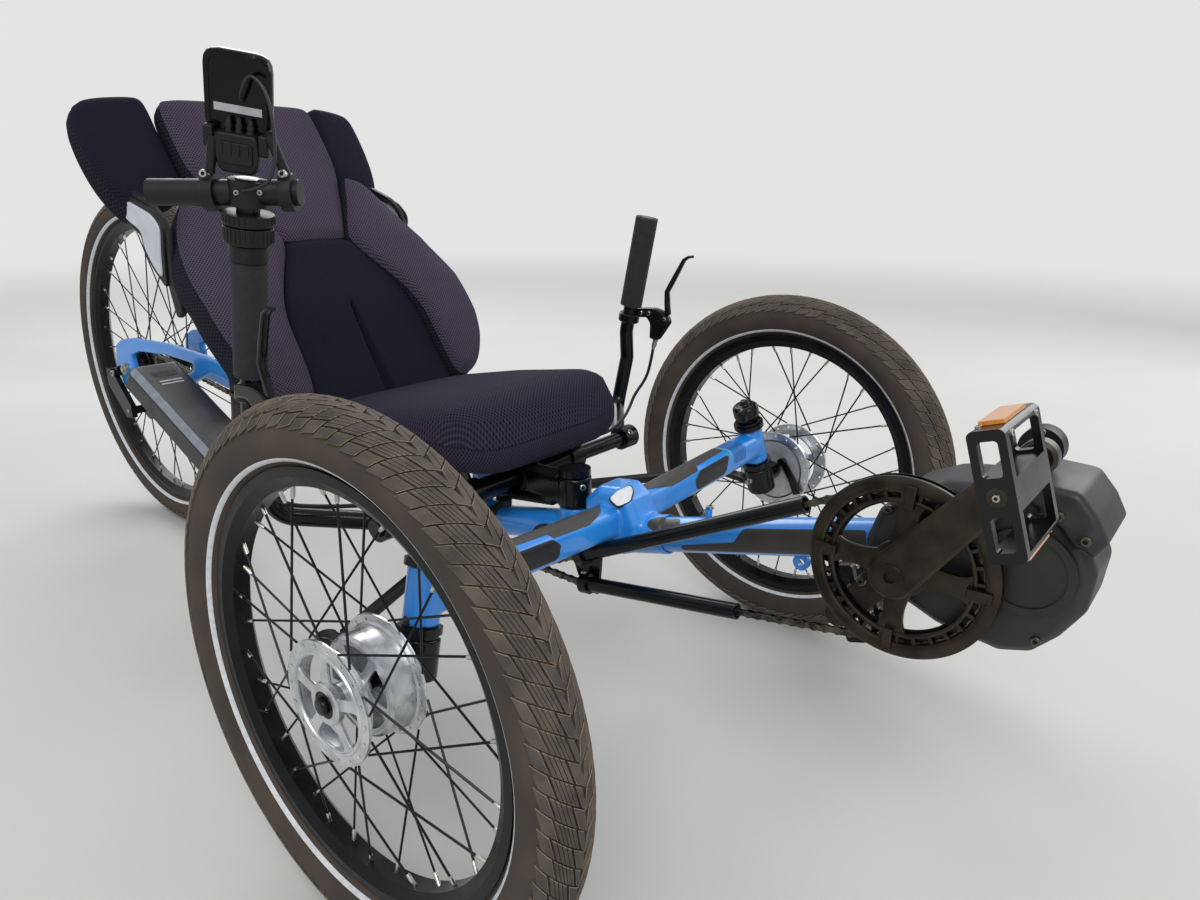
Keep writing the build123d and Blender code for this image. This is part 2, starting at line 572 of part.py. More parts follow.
with BuildPart() as cross_bar:
    bar(spot(-BAR_BACK, BAR_HALF, BAR_Z), spot(-BAR_BACK, -BAR_HALF, BAR_Z), BAR_R)
    bar(spot(-BAR_BACK, BAR_SLEEVE_HALF, BAR_Z), spot(-BAR_BACK, -BAR_SLEEVE_HALF, BAR_Z), BAR_SLEEVE_R)
    for side in (1, -1):
        bar(spot(-BAR_BACK, side * RING_IN, BAR_Z), spot(-BAR_BACK, side * RING_OUT, BAR_Z), RING_CLAMP_R)
        slab(FIN_OUTLINE, side * (RING_IN + RING_OUT) / 2 + 2, 4.0)
save(cross_bar, "cross_bar")

GRIP_LOW = (-252.0, 333.0, 506.0)
GRIP_TOP = (-224.0, 334.0, 645.0)
GRIP_R = 17.5
RISER_R = 11.0
RISER_CLAMP = 228.0
RIGHT_FOAM_TOP = 625.0
POD_TOP = 671.0
ACCESSORY_Z = 690.0
POST_END_Z = 703.0
grip_run = (Vector(*GRIP_TOP) - Vector(*GRIP_LOW)).normalized()


def on_post(side, height):
    """Point on a grip post's axis at this height."""
    low = Vector(*GRIP_LOW)
    point = low + grip_run * ((height - low.Z) / grip_run.Z)
    return spot(point.X, side * point.Y, point.Z)


with BuildPart() as risers:
    for side in (1, -1):
        route = [spot(-BAR_BACK - 14, side * RISER_CLAMP, BAR_Z + 1), spot(-265, side * 316, 338),
                 spot(-258, side * 332, 420), on_post(side, 462)]
        if side > 0:
            route.append(on_post(side, GRIP_TOP[2]))
        else:
            route.append(on_post(side, POST_END_Z))
        bent_bar(route, 26, RISER_R)
        bar(spot(-BAR_BACK, side * (RISER_CLAMP - 14), BAR_Z), spot(-BAR_BACK, side * (RISER_CLAMP + 14), BAR_Z),
            BAR_R + 6)
        bar(spot(-BAR_BACK, side * (RISER_CLAMP - 20), BAR_Z), spot(-BAR_BACK, side * (RISER_CLAMP + 20), BAR_Z),
            BAR_R + RUN_GAP, mode=Mode.SUBTRACT)
save(risers, "risers")

with BuildPart() as grips:
    for side in (1, -1):
        foam_top = GRIP_TOP[2] - 1 if side > 0 else RIGHT_FOAM_TOP
        bar(on_post(side, GRIP_LOW[2]), on_post(side, foam_top), GRIP_R, RISER_R + RUN_GAP)
save(grips, "grips")

# Brake levers below the grips: clamp, bracket and blade
with BuildPart() as brake_levers:
    for side in (1, -1):
        bar(on_post(side, 478), on_post(side, 498), RISER_R + 6)
        bent_bar((on_post(side, 488) + Vector(12, 0, 0), spot(-205, side * 345, 478), spot(-176, side * 352, 540),
                  spot(-158, side * 358, 587)), 14, 5)
        body = on_post(side, 486) + Vector(20, side * 3, 0)
        bar(body, body + Vector(18, side * 4, -6), 8.5, mode=Mode.ADD)
        bar(on_post(side, 470), on_post(side, 505), RISER_R + RUN_GAP, mode=Mode.SUBTRACT)
save(brake_levers, "brake_levers")


def easy_radii(points, least):
    """Bend radius at each corner of a cable's route: nearly half of the shorter run beside it."""
    radii = []
    for before, corner, after in zip(points[:-2], points[1:-1], points[2:]):
        first = corner - before
        second = after - corner
        turn = radians(first.get_angle(second))
        radii.append(round(max(least, 0.45 * min(first.length, second.length) / tan(turn / 2)), 1))
    return radii


def cable(points, radius, least):
    """Round cable along a route of straight runs with an easy bend at every corner."""
    radii = easy_radii(points, least)
    print("cable bends", radii)
    with BuildLine() as route:
        FilletPolyline(*points, radius=radii)
    with BuildSketch(Plane(origin=route.line @ 0, z_dir=route.line % 0)) as section:
        Circle(radius)
    sweep(section.sketch, path=route.line)
    print("cable length", round(route.wire().length, 1))


# Brake cables, tied along the risers from the levers to the ring clamps
CABLE_R = 2.5
CABLE_ROUTE = (
    (-243.0, 334.0, 473.0), (-241.0, 334.0, 420.0), (-238.0, 318.0, 362.0), (-196.0, 250.0, 346.0),
    (-182.0, 196.0, 338.0), (-182.0, RING_OUT + SEAT_GAP, 338.0),
)
with BuildPart() as brake_cables:
    for side in (1, -1):
        cable([spot(ahead, side * left, up) for ahead, left, up in CABLE_ROUTE], CABLE_R, 25.0)
save(brake_cables, "brake_cables")

# Right post above the grip: two ring pods, accessory bar and display
with BuildPart() as ring_pods:
    for low, high, radius in ((RIGHT_FOAM_TOP + 1, 641, 19.0), (643, 659, 23.0), (661, POD_TOP, 24.0)):
        bar(on_post(-1, low), on_post(-1, high), radius, RISER_R + RUN_GAP)
save(ring_pods, "ring_pods")

BAR_TURN = 38.7
BAR_OUT = 94.0
BAR_IN = 51.0
ACCESSORY_R = 12.7
CLAMP_ROOM = 54.0
RING_PLACES = (-34.0, 40.0)
COLLAR_HALF = 12.0
ARM_RISE = 22.0
ARM_NARROW = 0.72
ARM_CLEAR = 9.0
DISPLAY_BASE = 722.0
DISPLAY_TOP = 816.0
DISPLAY_HALF = 35.0
DISPLAY_THICK = 14.0
DISPLAY_LEAN = 13.0
DISPLAY_BACK = 8.0
bar_way = Vector(cos(radians(BAR_TURN)), sin(radians(BAR_TURN)), 0)
bar_across = Vector(-sin(radians(BAR_TURN)), cos(radians(BAR_TURN)), 0)
display_foot = on_post(-1, ACCESSORY_Z) + bar_across * DISPLAY_BACK + Vector(0, 0, DISPLAY_BASE - ACCESSORY_Z)
display_plane = Plane(
    origin=display_foot, x_dir=bar_way,
    z_dir=-bar_across * cos(radians(DISPLAY_LEAN)) - Vector(0, 0, 1) * sin(radians(DISPLAY_LEAN)),
)
with BuildPart() as accessory_bar:
    level = on_post(-1, ACCESSORY_Z)
    bar(level - bar_way * BAR_OUT, level - bar_way * (BAR_OUT - CLAMP_ROOM), ACCESSORY_R)
    bar(level - bar_way * (BAR_OUT - CLAMP_ROOM), level + bar_way * BAR_IN, ACCESSORY_R - 0.4)
    bar(on_post(-1, ACCESSORY_Z - COLLAR_HALF), on_post(-1, ACCESSORY_Z + COLLAR_HALF), RISER_R + 7)
    for along in RING_PLACES:
        bar(level + bar_way * (along - 6), level + bar_way * (along + 6), ACCESSORY_R + 5)
        foot = level + bar_way * along - bar_across * 2
        head = display_plane.from_local_coords(Vector(along * ARM_NARROW, ARM_RISE, ARM_CLEAR))
        bar(foot + Vector(0, 0, ACCESSORY_R), head, 5)
        bar(head, display_plane.from_local_coords(Vector(along * ARM_NARROW, ARM_RISE, SEAT_GAP)), 4)
    bar(on_post(-1, ACCESSORY_Z - 30), on_post(-1, ACCESSORY_Z + 30), RISER_R + RUN_GAP, mode=Mode.SUBTRACT)
save(accessory_bar, "accessory_bar")

with BuildPart() as display:
    with BuildSketch(display_plane) as body:
        with Locations((0, (DISPLAY_TOP - DISPLAY_BASE) / 2)):
            RectangleRounded(2 * DISPLAY_HALF, DISPLAY_TOP - DISPLAY_BASE, 9)
    extrude(body.sketch, amount=-DISPLAY_THICK)
    fillet(display.faces().sort_by(Axis.Y)[0].edges(), 3)
save(display, "display")

# Free lead in one loop behind the display: along the bar, up, and towards the front
LEAD_R = 1.6
LEAD_ROUTE = (
    (7, 82, 3.9), (7, 82, 16), (20, 106, 18), (37, 88, 22), (40, 48, 23), (36, 14, 26), (20, 3, 28), (3, 2, 20),
)
with BuildPart() as display_lead:
    cable([level + bar_way * along - bar_across * forward + Vector(0, 0, up) for along, up, forward in LEAD_ROUTE],
          LEAD_R, 8.0)
save(display_lead, "display_lead")

# Motor: body round the crank spindle, outer cover and cable bracket
MOTOR_OUTLINE = (
    (312, 336), (308, 372), (318, 405), (340, 430), (372, 446), (420, 454), (462, 450), (490, 430), (506, 392),
    (503, 357), (486, 328), (466, 306), (440, 298), (384, 306),
)
NOSE_OUTLINE = ((430, 454), (446, 466), (484, 464), (500, 446), (511, 426), (502, 410), (482, 426), (456, 444))
BRACKET_OUTLINE = ((450, 428), (462, 452), (480, 452), (504, 434), (504, 416), (488, 416), (472, 434))
SPINDLE_R = 11.0
MOTOR_RIGHT = 38.0
MOTOR_LEFT = 44.0
NOSE_HALF = 47.0
COVER_AHEAD = 454.0
COVER_Z = 384.0
COVER_R = 33.0
COVER_RING_R = 40.0
with BuildPart() as motor:
    slab(MOTOR_OUTLINE, MOTOR_LEFT, MOTOR_LEFT + MOTOR_RIGHT)
    fillet(motor.edges().filter_by(Axis.Y), 9)
    chamfer(motor.faces().filter_by(Axis.Y).edges(), 8)
    slab(BRACKET_OUTLINE, -MOTOR_RIGHT + 6, 13.0)
    for ahead, up in ((473, 443), (495, 427)):
        bar(spot(ahead, -MOTOR_RIGHT, up), spot(ahead, -MOTOR_RIGHT - 11, up), 6.0)
    with BuildPart(mode=Mode.PRIVATE) as nose:
        slab(NOSE_OUTLINE, NOSE_HALF, 2 * NOSE_HALF)
        chamfer(nose.faces().filter_by(Axis.Y).edges(), 4)
    add(nose.part)
    bar(spot(CRANK_AHEAD, 60, CRANK_Z), spot(CRANK_AHEAD, -60, CRANK_Z), SPINDLE_R + RUN_GAP, mode=Mode.SUBTRACT)
    bar(boom_spot(BOOM_END[0] - 60), boom_spot(BOOM_END[0] + 1), BOOM_R + RUN_GAP, mode=Mode.SUBTRACT)
save(motor, "motor")

# Round cover on the motor's right side: a raised ring round a shallow disc
with BuildPart() as motor_disc:
    bar(spot(COVER_AHEAD, -MOTOR_RIGHT - SEAT_GAP, COVER_Z), spot(COVER_AHEAD, -MOTOR_RIGHT - 3, COVER_Z), COVER_R + 1)
    bar(spot(COVER_AHEAD, -MOTOR_RIGHT - SEAT_GAP, COVER_Z), spot(COVER_AHEAD, -MOTOR_RIGHT - 5, COVER_Z),
        COVER_RING_R, COVER_R)
save(motor_disc, "motor_disc")

# Lamp mount on top of the motor: a rubber ring round a bright boss, on a short foot
LAMP_AHEAD = 443.0
LAMP_Z = 485.0
LAMP_R = 18.5
LAMP_HALF = 9.0
with BuildPart() as lamp_mount:
    slab(((434, 466 + SEAT_GAP), (452, 466 + SEAT_GAP), (449, LAMP_Z), (437, LAMP_Z)), 6.0, 12.0)
    bar(spot(LAMP_AHEAD, LAMP_HALF, LAMP_Z), spot(LAMP_AHEAD, -LAMP_HALF, LAMP_Z), LAMP_R)
    bar(spot(LAMP_AHEAD, LAMP_HALF + 1, LAMP_Z), spot(LAMP_AHEAD, LAMP_HALF - 4, LAMP_Z), 12.0, mode=Mode.SUBTRACT)
    bar(spot(LAMP_AHEAD, -LAMP_HALF - 1, LAMP_Z), spot(LAMP_AHEAD, -LAMP_HALF + 4, LAMP_Z), 12.0, mode=Mode.SUBTRACT)
    with Locations(spot(LAMP_AHEAD, -LAMP_HALF + 3, LAMP_Z)):
        Sphere(8.0)
save(lamp_mount, "lamp_mount")

# Cranks with the pedal axles, chainring with its guard, pedals
ARM_INNER = 66.0
ARM_OUTER = 80.0
ARM_ROOT_R = 22.5
ARM_TIP_R = 14.5
BOLT_R = 12.0
PEDAL_AXLE_R = 7.0
PEDAL_INNER = 100.0
PEDAL_OUTER = 192.0
crank_turn = radians(CRANK_ANGLE)
crank_x = CRANK_LENGTH * cos(crank_turn)
crank_z = CRANK_LENGTH * sin(crank_turn)


def pedal_spot(side, left):
    """Point on a pedal's axle: the right pedal is up and forward, the left one opposite."""
    return spot(CRANK_AHEAD - side * crank_x, left, CRANK_Z - side * crank_z)


with BuildPart() as crank_arms:
    bar(spot(CRANK_AHEAD, ARM_INNER + 2, CRANK_Z), spot(CRANK_AHEAD, -ARM_INNER - 2, CRANK_Z), SPINDLE_R)
    for side in (1, -1):
        tip = pedal_spot(side, 0)
        edge = side * ARM_OUTER if side > 0 else -ARM_INNER
        root_x, root_z, tip_x, tip_z = CRANK_AHEAD, CRANK_Z, tip.X - FRONT_X, tip.Z
        across = Vector(-(tip_z - root_z), tip_x - root_x, 0).normalized()
        with BuildSketch(side_plane(edge)) as arm:
            with Locations((root_x, root_z)):
                Circle(ARM_ROOT_R)
            with Locations((tip_x, tip_z)):
                Circle(ARM_TIP_R)
            with BuildLine():
                Polyline(
                    (root_x + across.X * ARM_ROOT_R, root_z + across.Y * ARM_ROOT_R),
                    (tip_x + across.X * ARM_TIP_R, tip_z + across.Y * ARM_TIP_R),
                    (tip_x - across.X * ARM_TIP_R, tip_z - across.Y * ARM_TIP_R),
                    (root_x - across.X * ARM_ROOT_R, root_z - across.Y * ARM_ROOT_R), close=True,
                )
            make_face()
        extrude(arm.sketch, amount=ARM_OUTER - ARM_INNER)
    for face in (crank_arms.faces().sort_by(Axis.Y)[0], crank_arms.faces().sort_by(Axis.Y)[-1]):
        chamfer(face.edges(), 3)
    for side in (1, -1):
        bar(pedal_spot(side, side * (ARM_INNER + 2)), pedal_spot(side, side * PEDAL_OUTER), PEDAL_AXLE_R)
        bar(spot(CRANK_AHEAD, side * ARM_OUTER, CRANK_Z), spot(CRANK_AHEAD, side * (ARM_OUTER + 2), CRANK_Z), BOLT_R)
        with BuildSketch(side_plane(side * (ARM_OUTER + 2))) as star:
            with Locations((CRANK_AHEAD, CRANK_Z)):
                RegularPolygon(5.5, 6)
                RegularPolygon(5.5, 6, rotation=30)
        extrude(star.sketch, amount=4, both=True, mode=Mode.SUBTRACT)
save(crank_arms, "crank_arms")

RING_PITCH_R = CHAIN_PITCH / (2 * sin(pi / RING_TEETH))
RING_TIP_R = RING_PITCH_R + 2.5
RING_HALF = 1.1
TOOTH_WIDE = 7.6
TOOTH_TALL = 6.5
TOOTH_FLANK = 70.0
GUARD_R = 89.0
GUARD_INNER_R = 65.5
GUARD_THICK = 3.0
SLOT_RING_R = 74.0
SLOTS = 28
SPIDER_ARMS = 4
SPIDER_TURN = -2.5
SPIDER_HUB_R = 27.0
SPIDER_WIDE = 17.0
TAB_R = 72.0
with BuildPart() as chainring:
    with BuildSketch(side_plane(-CHAIN_LINE + RING_HALF)) as teeth:
        with Locations((CRANK_AHEAD, CRANK_Z)):
            Circle(RING_PITCH_R - TOOTH_TALL / 2)
            with PolarLocations(RING_TIP_R - TOOTH_TALL / 2, RING_TEETH):
                Trapezoid(TOOTH_WIDE, TOOTH_TALL, TOOTH_FLANK, rotation=-90)
            Circle(RING_PITCH_R - 14, mode=Mode.SUBTRACT)
    extrude(teeth.sketch, amount=2 * RING_HALF)
    with BuildSketch(side_plane(-CHAIN_LINE - 5)) as guard:
        with Locations((CRANK_AHEAD, CRANK_Z)):
            Circle(GUARD_R)
            Circle(GUARD_INNER_R, mode=Mode.SUBTRACT)
            with PolarLocations(SLOT_RING_R, SLOTS, start_angle=SPIDER_TURN + 180 / SLOTS):
                SlotOverall(12.0, 5.5, rotation=90, mode=Mode.SUBTRACT)
    extrude(guard.sketch, amount=GUARD_THICK)
    with BuildSketch(side_plane(-CHAIN_LINE + RING_HALF)) as spider:
        with Locations((CRANK_AHEAD, CRANK_Z)):
            Circle(SPIDER_HUB_R)
            with PolarLocations(GUARD_INNER_R / 2 + 1, SPIDER_ARMS, start_angle=SPIDER_TURN):
                Rectangle(GUARD_INNER_R + 2, SPIDER_WIDE)
    extrude(spider.sketch, amount=RING_HALF + 5 + GUARD_THICK)
    with BuildSketch(side_plane(-CHAIN_LINE - 5)) as tabs:
        with Locations((CRANK_AHEAD, CRANK_Z)):
            with PolarLocations(TAB_R, SPIDER_ARMS, start_angle=SPIDER_TURN):
                Rectangle(20, 8)
    extrude(tabs.sketch, amount=GUARD_THICK + 4)
    bar(spot(CRANK_AHEAD, 0, CRANK_Z), spot(CRANK_AHEAD, -90, CRANK_Z), SPINDLE_R + RUN_GAP, mode=Mode.SUBTRACT)
save(chainring, "chainring")

PEDAL_LONG = 96.0
PEDAL_THICK = 26.0
PEDAL_LEAN = 107.5
PEDAL_WALL = 8.0
for side, name in ((1, "left"), (-1, "right")):
    heart = pedal_spot(side, side * PEDAL_INNER)
    flat = Plane(origin=heart, x_dir=(cos(radians(PEDAL_LEAN)), 0, sin(radians(PEDAL_LEAN))), z_dir=(0, side, 0))
    with BuildPart() as pedal:
        with BuildSketch(flat) as body:
            RectangleRounded(PEDAL_LONG, PEDAL_THICK, 5)
            Circle(PEDAL_AXLE_R + RUN_GAP, mode=Mode.SUBTRACT)
        extrude(body.sketch, amount=PEDAL_OUTER - PEDAL_INNER)
        with BuildSketch(flat.offset(PEDAL_WALL)) as windows:
            with Locations((-27, 0), (27, 0)):
                Rectangle(30, PEDAL_THICK + 2)
        extrude(windows.sketch, amount=PEDAL_OUTER - PEDAL_INNER - 2 * PEDAL_WALL, mode=Mode.SUBTRACT)
        with BuildSketch(flat) as side_windows:
            with Locations((-27, 0), (27, 0)):
                RectangleRounded(26, PEDAL_THICK - 12, 3)
        extrude(side_windows.sketch, amount=PEDAL_OUTER - PEDAL_INNER, mode=Mode.SUBTRACT)
    save(pedal, f"pedal_{name}")
    with BuildPart() as reflectors:
        for end in (1, -1):
            with BuildSketch(flat.offset(18)) as lens:
                with Locations((end * (PEDAL_LONG / 2 + SEAT_GAP + 1.5), 0)):
                    Rectangle(3, 18)
            extrude(lens.sketch, amount=PEDAL_OUTER - PEDAL_INNER - 36)
    save(reflectors, f"pedal_reflectors_{name}")

# Rear hub with its axle ends, cassette
HUB_AXLE_R = 6.0
COG_PITCH_R = CHAIN_PITCH / (2 * sin(pi / COG_TEETH))
rear_centre = wheel_plane(-WHEELBASE, 0, REAR_TYRE_R)
rear_axle = Axis(rear_centre.origin, (0, 1, 0))
with BuildPart() as hub_rear:
    with BuildSketch(rear_centre) as section:
        with BuildLine():
            Polyline(
                (-62, HUB_AXLE_R + RUN_GAP), (-62, 15), (-38, 17), (-REAR_FLANGE_HALF - 1.75, REAR_FLANGE_R),
                (-REAR_FLANGE_HALF + 1.75, REAR_FLANGE_R), (-REAR_FLANGE_HALF + 3, 18), (0, 14),
                (REAR_FLANGE_HALF - 3, 18), (REAR_FLANGE_HALF - 1.75, REAR_FLANGE_R),
                (REAR_FLANGE_HALF + 1.75, REAR_FLANGE_R), (REAR_FLANGE_HALF + 4, 16), (58, 12),
                (58, HUB_AXLE_R + RUN_GAP), close=True,
            )
        make_face()
    revolve(section.sketch, axis=rear_axle)
save(hub_rear, "hub_rear")

# Axle through the hub and the dropouts, with its nuts
with BuildPart() as rear_axle_bar:
    bar(spot(-WHEELBASE, 86, REAR_TYRE_R), spot(-WHEELBASE, -86, REAR_TYRE_R), HUB_AXLE_R)
    for left in (SWING_SIDE + SEAT_GAP, -SWING_SIDE - SEAT_GAP - 6):
        bar(spot(-WHEELBASE, left, REAR_TYRE_R), spot(-WHEELBASE, left + 6, REAR_TYRE_R), 11)
save(rear_axle_bar, "rear_axle")

with BuildPart() as cassette:
    with BuildSketch(rear_centre) as section:
        with BuildLine():
            Polyline(
                (-40, 17.3 + SEAT_GAP), (-40, 58), (-42, 58), (-43.5, 53), (-45.5, 53), (-45.5, COG_PITCH_R - 8),
                (-49, COG_PITCH_R - 8), (-49, COG_PITCH_R + 2), (-51, COG_PITCH_R + 2), (-51, COG_PITCH_R - 8),
                (-53, 30), (-56, 26), (-60, 22), (-60, 17.3 + SEAT_GAP), close=True,
            )
        make_face()
    revolve(section.sketch, axis=rear_axle)
save(cassette, "cassette")

# Chain: its runs outside the tubes, round the chainring and round the cog
UPPER_TUBE = (-43.0, 252.0)
LOWER_TUBE = (-36.0, 183.0)
TUBE_R = 9.0
TUBE_BORE_R = 7.0
LINK_TALL = 4.0
LINK_WIDE = 3.4
TOOTH_ROOM = 1.6
PULLEY_R = 22.5
TURN_POINT = (-45.0, 283.0)
# Wheels in the order in which the chain meets them: ahead, up, pitch radius, sense of turn
CHAIN_WHEELS = (
    (CRANK_AHEAD, CRANK_Z, CHAIN_PITCH / (2 * sin(pi / RING_TEETH)), -1),
    (*TURN_POINT, 60.0, -1),
    (AXLE_X + 84.0, AXLE_Z - 73.6, PULLEY_R, -1),
    (AXLE_X + 12.0, AXLE_Z - 81.6, PULLEY_R, 1),
    (-WHEELBASE, REAR_TYRE_R, CHAIN_PITCH / (2 * sin(pi / COG_TEETH)), -1),
    (-94.0, 260.0, 24.0, 1),
)
IDLER = CHAIN_WHEELS[5]


def chain_run(first, second):
    """Ends of the straight run between two wheels, and its heading in degrees."""
    reach = Vector(second[0] - first[0], second[1] - first[1], 0)
    heading = atan2(reach.Y, reach.X)
    heading += asin((first[3] * first[2] - second[3] * second[2]) / reach.length)
    right = (sin(heading), -cos(heading))
    ends = [(w[0] + w[3] * w[2] * right[0], w[1] + w[3] * w[2] * right[1]) for w in (first, second)]
    return ends[0], ends[1], heading


runs = [chain_run(w, CHAIN_WHEELS[(i + 1) % len(CHAIN_WHEELS)]) for i, w in enumerate(CHAIN_WHEELS)]
with BuildPart() as chain:
    with BuildSketch(side_plane(-CHAIN_LINE + LINK_WIDE)) as band:
        with BuildLine():
            for index, wheel_data in enumerate(CHAIN_WHEELS):
                arrive = runs[index - 1]
                leave = runs[index]
                turn = (leave[2] - arrive[2]) * wheel_data[3]
                turn = turn % (2 * pi)
                middle = arrive[2] + wheel_data[3] * turn / 2
                top = (wheel_data[0] + wheel_data[3] * wheel_data[2] * sin(middle),
                       wheel_data[1] - wheel_data[3] * wheel_data[2] * cos(middle))
                ThreePointArc(arrive[1], top, leave[0])
                Line(leave[0], leave[1])
        make_face()
    inside = band.sketch.face()
    outer = offset(inside, amount=LINK_TALL, mode=Mode.PRIVATE)
    inner = offset(inside, amount=-LINK_TALL, mode=Mode.PRIVATE)
    extrude(outer, amount=2 * LINK_WIDE)
    extrude(inner, amount=2 * LINK_WIDE, mode=Mode.SUBTRACT)
    for wheel_data in CHAIN_WHEELS:
        if wheel_data[:2] != TURN_POINT:
            bar(spot(wheel_data[0], -CHAIN_LINE + TOOTH_ROOM, wheel_data[1]),
                spot(wheel_data[0], -CHAIN_LINE - TOOTH_ROOM, wheel_data[1]), wheel_data[2] + 3, mode=Mode.SUBTRACT)
save(chain, "chain")


def on_run(run, ahead):
    """Point on a straight run of the chain at this place along the trike."""
    return spot(ahead, -CHAIN_LINE, run[0][1] + (ahead - run[0][0]) * tan(run[2]))


with BuildPart() as chain_tubes:
    for run, reach in ((runs[5], UPPER_TUBE), (runs[0], LOWER_TUBE)):
        bar(on_run(run, reach[0]), on_run(run, reach[1]), TUBE_R, TUBE_BORE_R)
save(chain_tubes, "chain_tubes")

with BuildPart() as idler:
    bar(spot(IDLER[0], -CHAIN_LINE + 3, IDLER[1]), spot(IDLER[0], -CHAIN_LINE - 3, IDLER[1]),
        IDLER[2] - LINK_TALL - SEAT_GAP)
    bar(spot(IDLER[0], -CHAIN_LINE + RING_HALF, IDLER[1]), spot(IDLER[0], -CHAIN_LINE - RING_HALF, IDLER[1]),
        IDLER[2] + 2.5)
save(idler, "idler")

BRACKET_PLATE = -34.0
BRACKET_THICK = 5.0
with BuildPart() as idler_bracket:
    slab(((-104, 250), (-104, 270), (-30, 276), (-16, 256), (-20, 208), (-44, 208), (-60, 246)),
         BRACKET_PLATE, BRACKET_THICK)
    bar(spot(IDLER[0], -MAIN_R, IDLER[1]), spot(IDLER[0], -CHAIN_LINE + 3 + SEAT_GAP, IDLER[1]), 6)
    bar(spot(-45, -MAIN_R, 262), spot(-45, BRACKET_PLATE, 262), 6)
    for run, low in ((runs[5], UPPER_TUBE[0]), (runs[0], LOWER_TUBE[0])):
        bar(on_run(run, low + 2), on_run(run, low + 14), TUBE_R + 3.5)
        bar(on_run(run, low - 6), on_run(run, low + 20), TUBE_R + RUN_GAP, mode=Mode.SUBTRACT)
save(idler_bracket, "idler_bracket")

# Derailleur
CAGE_RIGHT = 56.0
CAGE_THICK = 4.0
HANGER_RIGHT = SWING_SIDE + 4.0
HANGER_THICK = 10.0
TENSION, GUIDE = CHAIN_WHEELS[2:4]
HANGER_BOLT = (AXLE_X - 30, AXLE_Z - 7)
BODY_OUTLINE = (
    (HANGER_BOLT[0] - 32, HANGER_BOLT[1] + 3), (HANGER_BOLT[0] - 12, HANGER_BOLT[1] + 3), (GUIDE[0] + 12, GUIDE[1] + 12),
    (GUIDE[0] + 12, GUIDE[1] - 12), (GUIDE[0] - 14, GUIDE[1] - 14), (HANGER_BOLT[0] - 34, HANGER_BOLT[1] - 31),
)
CAGE_OUTLINE = (
    (GUIDE[0] - 8, GUIDE[1] + 14), (TENSION[0] + 4, TENSION[1] + 12), (TENSION[0] + 8, TENSION[1] - 12),
    (GUIDE[0] - 2, GUIDE[1] - 14),
)
LINK_OUTLINE = (
    (HANGER_BOLT[0] - 30, HANGER_BOLT[1] + 3), (HANGER_BOLT[0] + 8, HANGER_BOLT[1] + 9),
    (HANGER_BOLT[0] + 8, HANGER_BOLT[1] - 9), (HANGER_BOLT[0] - 22, HANGER_BOLT[1] - 14),
)
with BuildPart() as derailleur:
    slab(BODY_OUTLINE, -HANGER_RIGHT, HANGER_THICK)
    for pulley, axle_end in zip((TENSION, GUIDE), (CAGE_RIGHT + 6, HANGER_RIGHT + 2)):
        bar(spot(pulley[0], -CHAIN_LINE + 3, pulley[1]), spot(pulley[0], -axle_end, pulley[1]), 8)
        bar(spot(pulley[0], -CHAIN_LINE + RING_HALF, pulley[1]), spot(pulley[0], -CHAIN_LINE - RING_HALF, pulley[1]),
            pulley[2] + 2.5)
    slab(CAGE_OUTLINE, -CAGE_RIGHT, CAGE_THICK)
    bar(spot(HANGER_BOLT[0], -SWING_SIDE - SEAT_GAP, HANGER_BOLT[1]),
        spot(HANGER_BOLT[0], -HANGER_RIGHT - 3, HANGER_BOLT[1]), 9)
    slab(LINK_OUTLINE, -HANGER_RIGHT, 6)
save(derailleur, "derailleur")

# Battery on its rail
BATTERY_INNER = -88.0
BATTERY_WIDTH = 88.0
BATTERY_OUTLINE = (
    (TYRE_FRONT - 124.6, 352), (TYRE_FRONT - 89.6, 392), (TYRE_FRONT + 195.4, 262), (TYRE_FRONT + 200.4, 222),
    (TYRE_FRONT + 170.4, 214),
)
MOUNT_X = TYRE_FRONT + 150.4
with BuildPart() as battery:
    slab(BATTERY_OUTLINE, BATTERY_INNER, BATTERY_WIDTH)
    fillet(battery.edges().filter_by(Axis.Y), 10)
    chamfer(battery.faces().filter_by(Axis.Y).edges(), 9)
save(battery, "battery")

with BuildPart() as battery_mount:
    bar(spot(MOUNT_X, -MAIN_R, 256), spot(MOUNT_X, BATTERY_INNER + SEAT_GAP, 256), 9)
save(battery_mount, "battery_mount")

# Seat
CREASE = (-457.0, 392.0)
BACK_LUMBAR = (-600.0, 613.0)
BACK_TOP = (-794.0, 814.0)
BACK_HALF = 126.0
with BuildPart() as seat_back_cushion:
    slab((CREASE, BACK_LUMBAR, BACK_TOP, (-826, 786), (-640, 592), (-500, 372)), BACK_HALF, 2 * BACK_HALF)
    fillet(seat_back_cushion.edges().filter_by(Axis.Y), 12)
save(seat_back_cushion, "seat_back_cushion")

with BuildPart() as seat_base_cushion:
    slab(((-124, 404), (-128, 424), (-168, 446), (-300, 428), (-452, 394), (-470, 352), (-300, 372)), 172, 344)
    fillet(seat_base_cushion.edges().filter_by(Axis.Y), 9)
save(seat_base_cushion, "seat_base_cushion")

with BuildPart() as seat_bolsters:
    for left in (218, -BACK_HALF - SEAT_GAP):
        slab(((-706, 655), (-608, 607), (-523, 554), (-471, 492), (-452, 435), (-480, 400), (-548, 404),
              (-591, 441), (-649, 491), (-684, 555), (-720, 640)), left, 218 - BACK_HALF - SEAT_GAP)
    fillet(seat_bolsters.edges().filter_by(Axis.Y), 12)
save(seat_bolsters, "seat_bolsters")

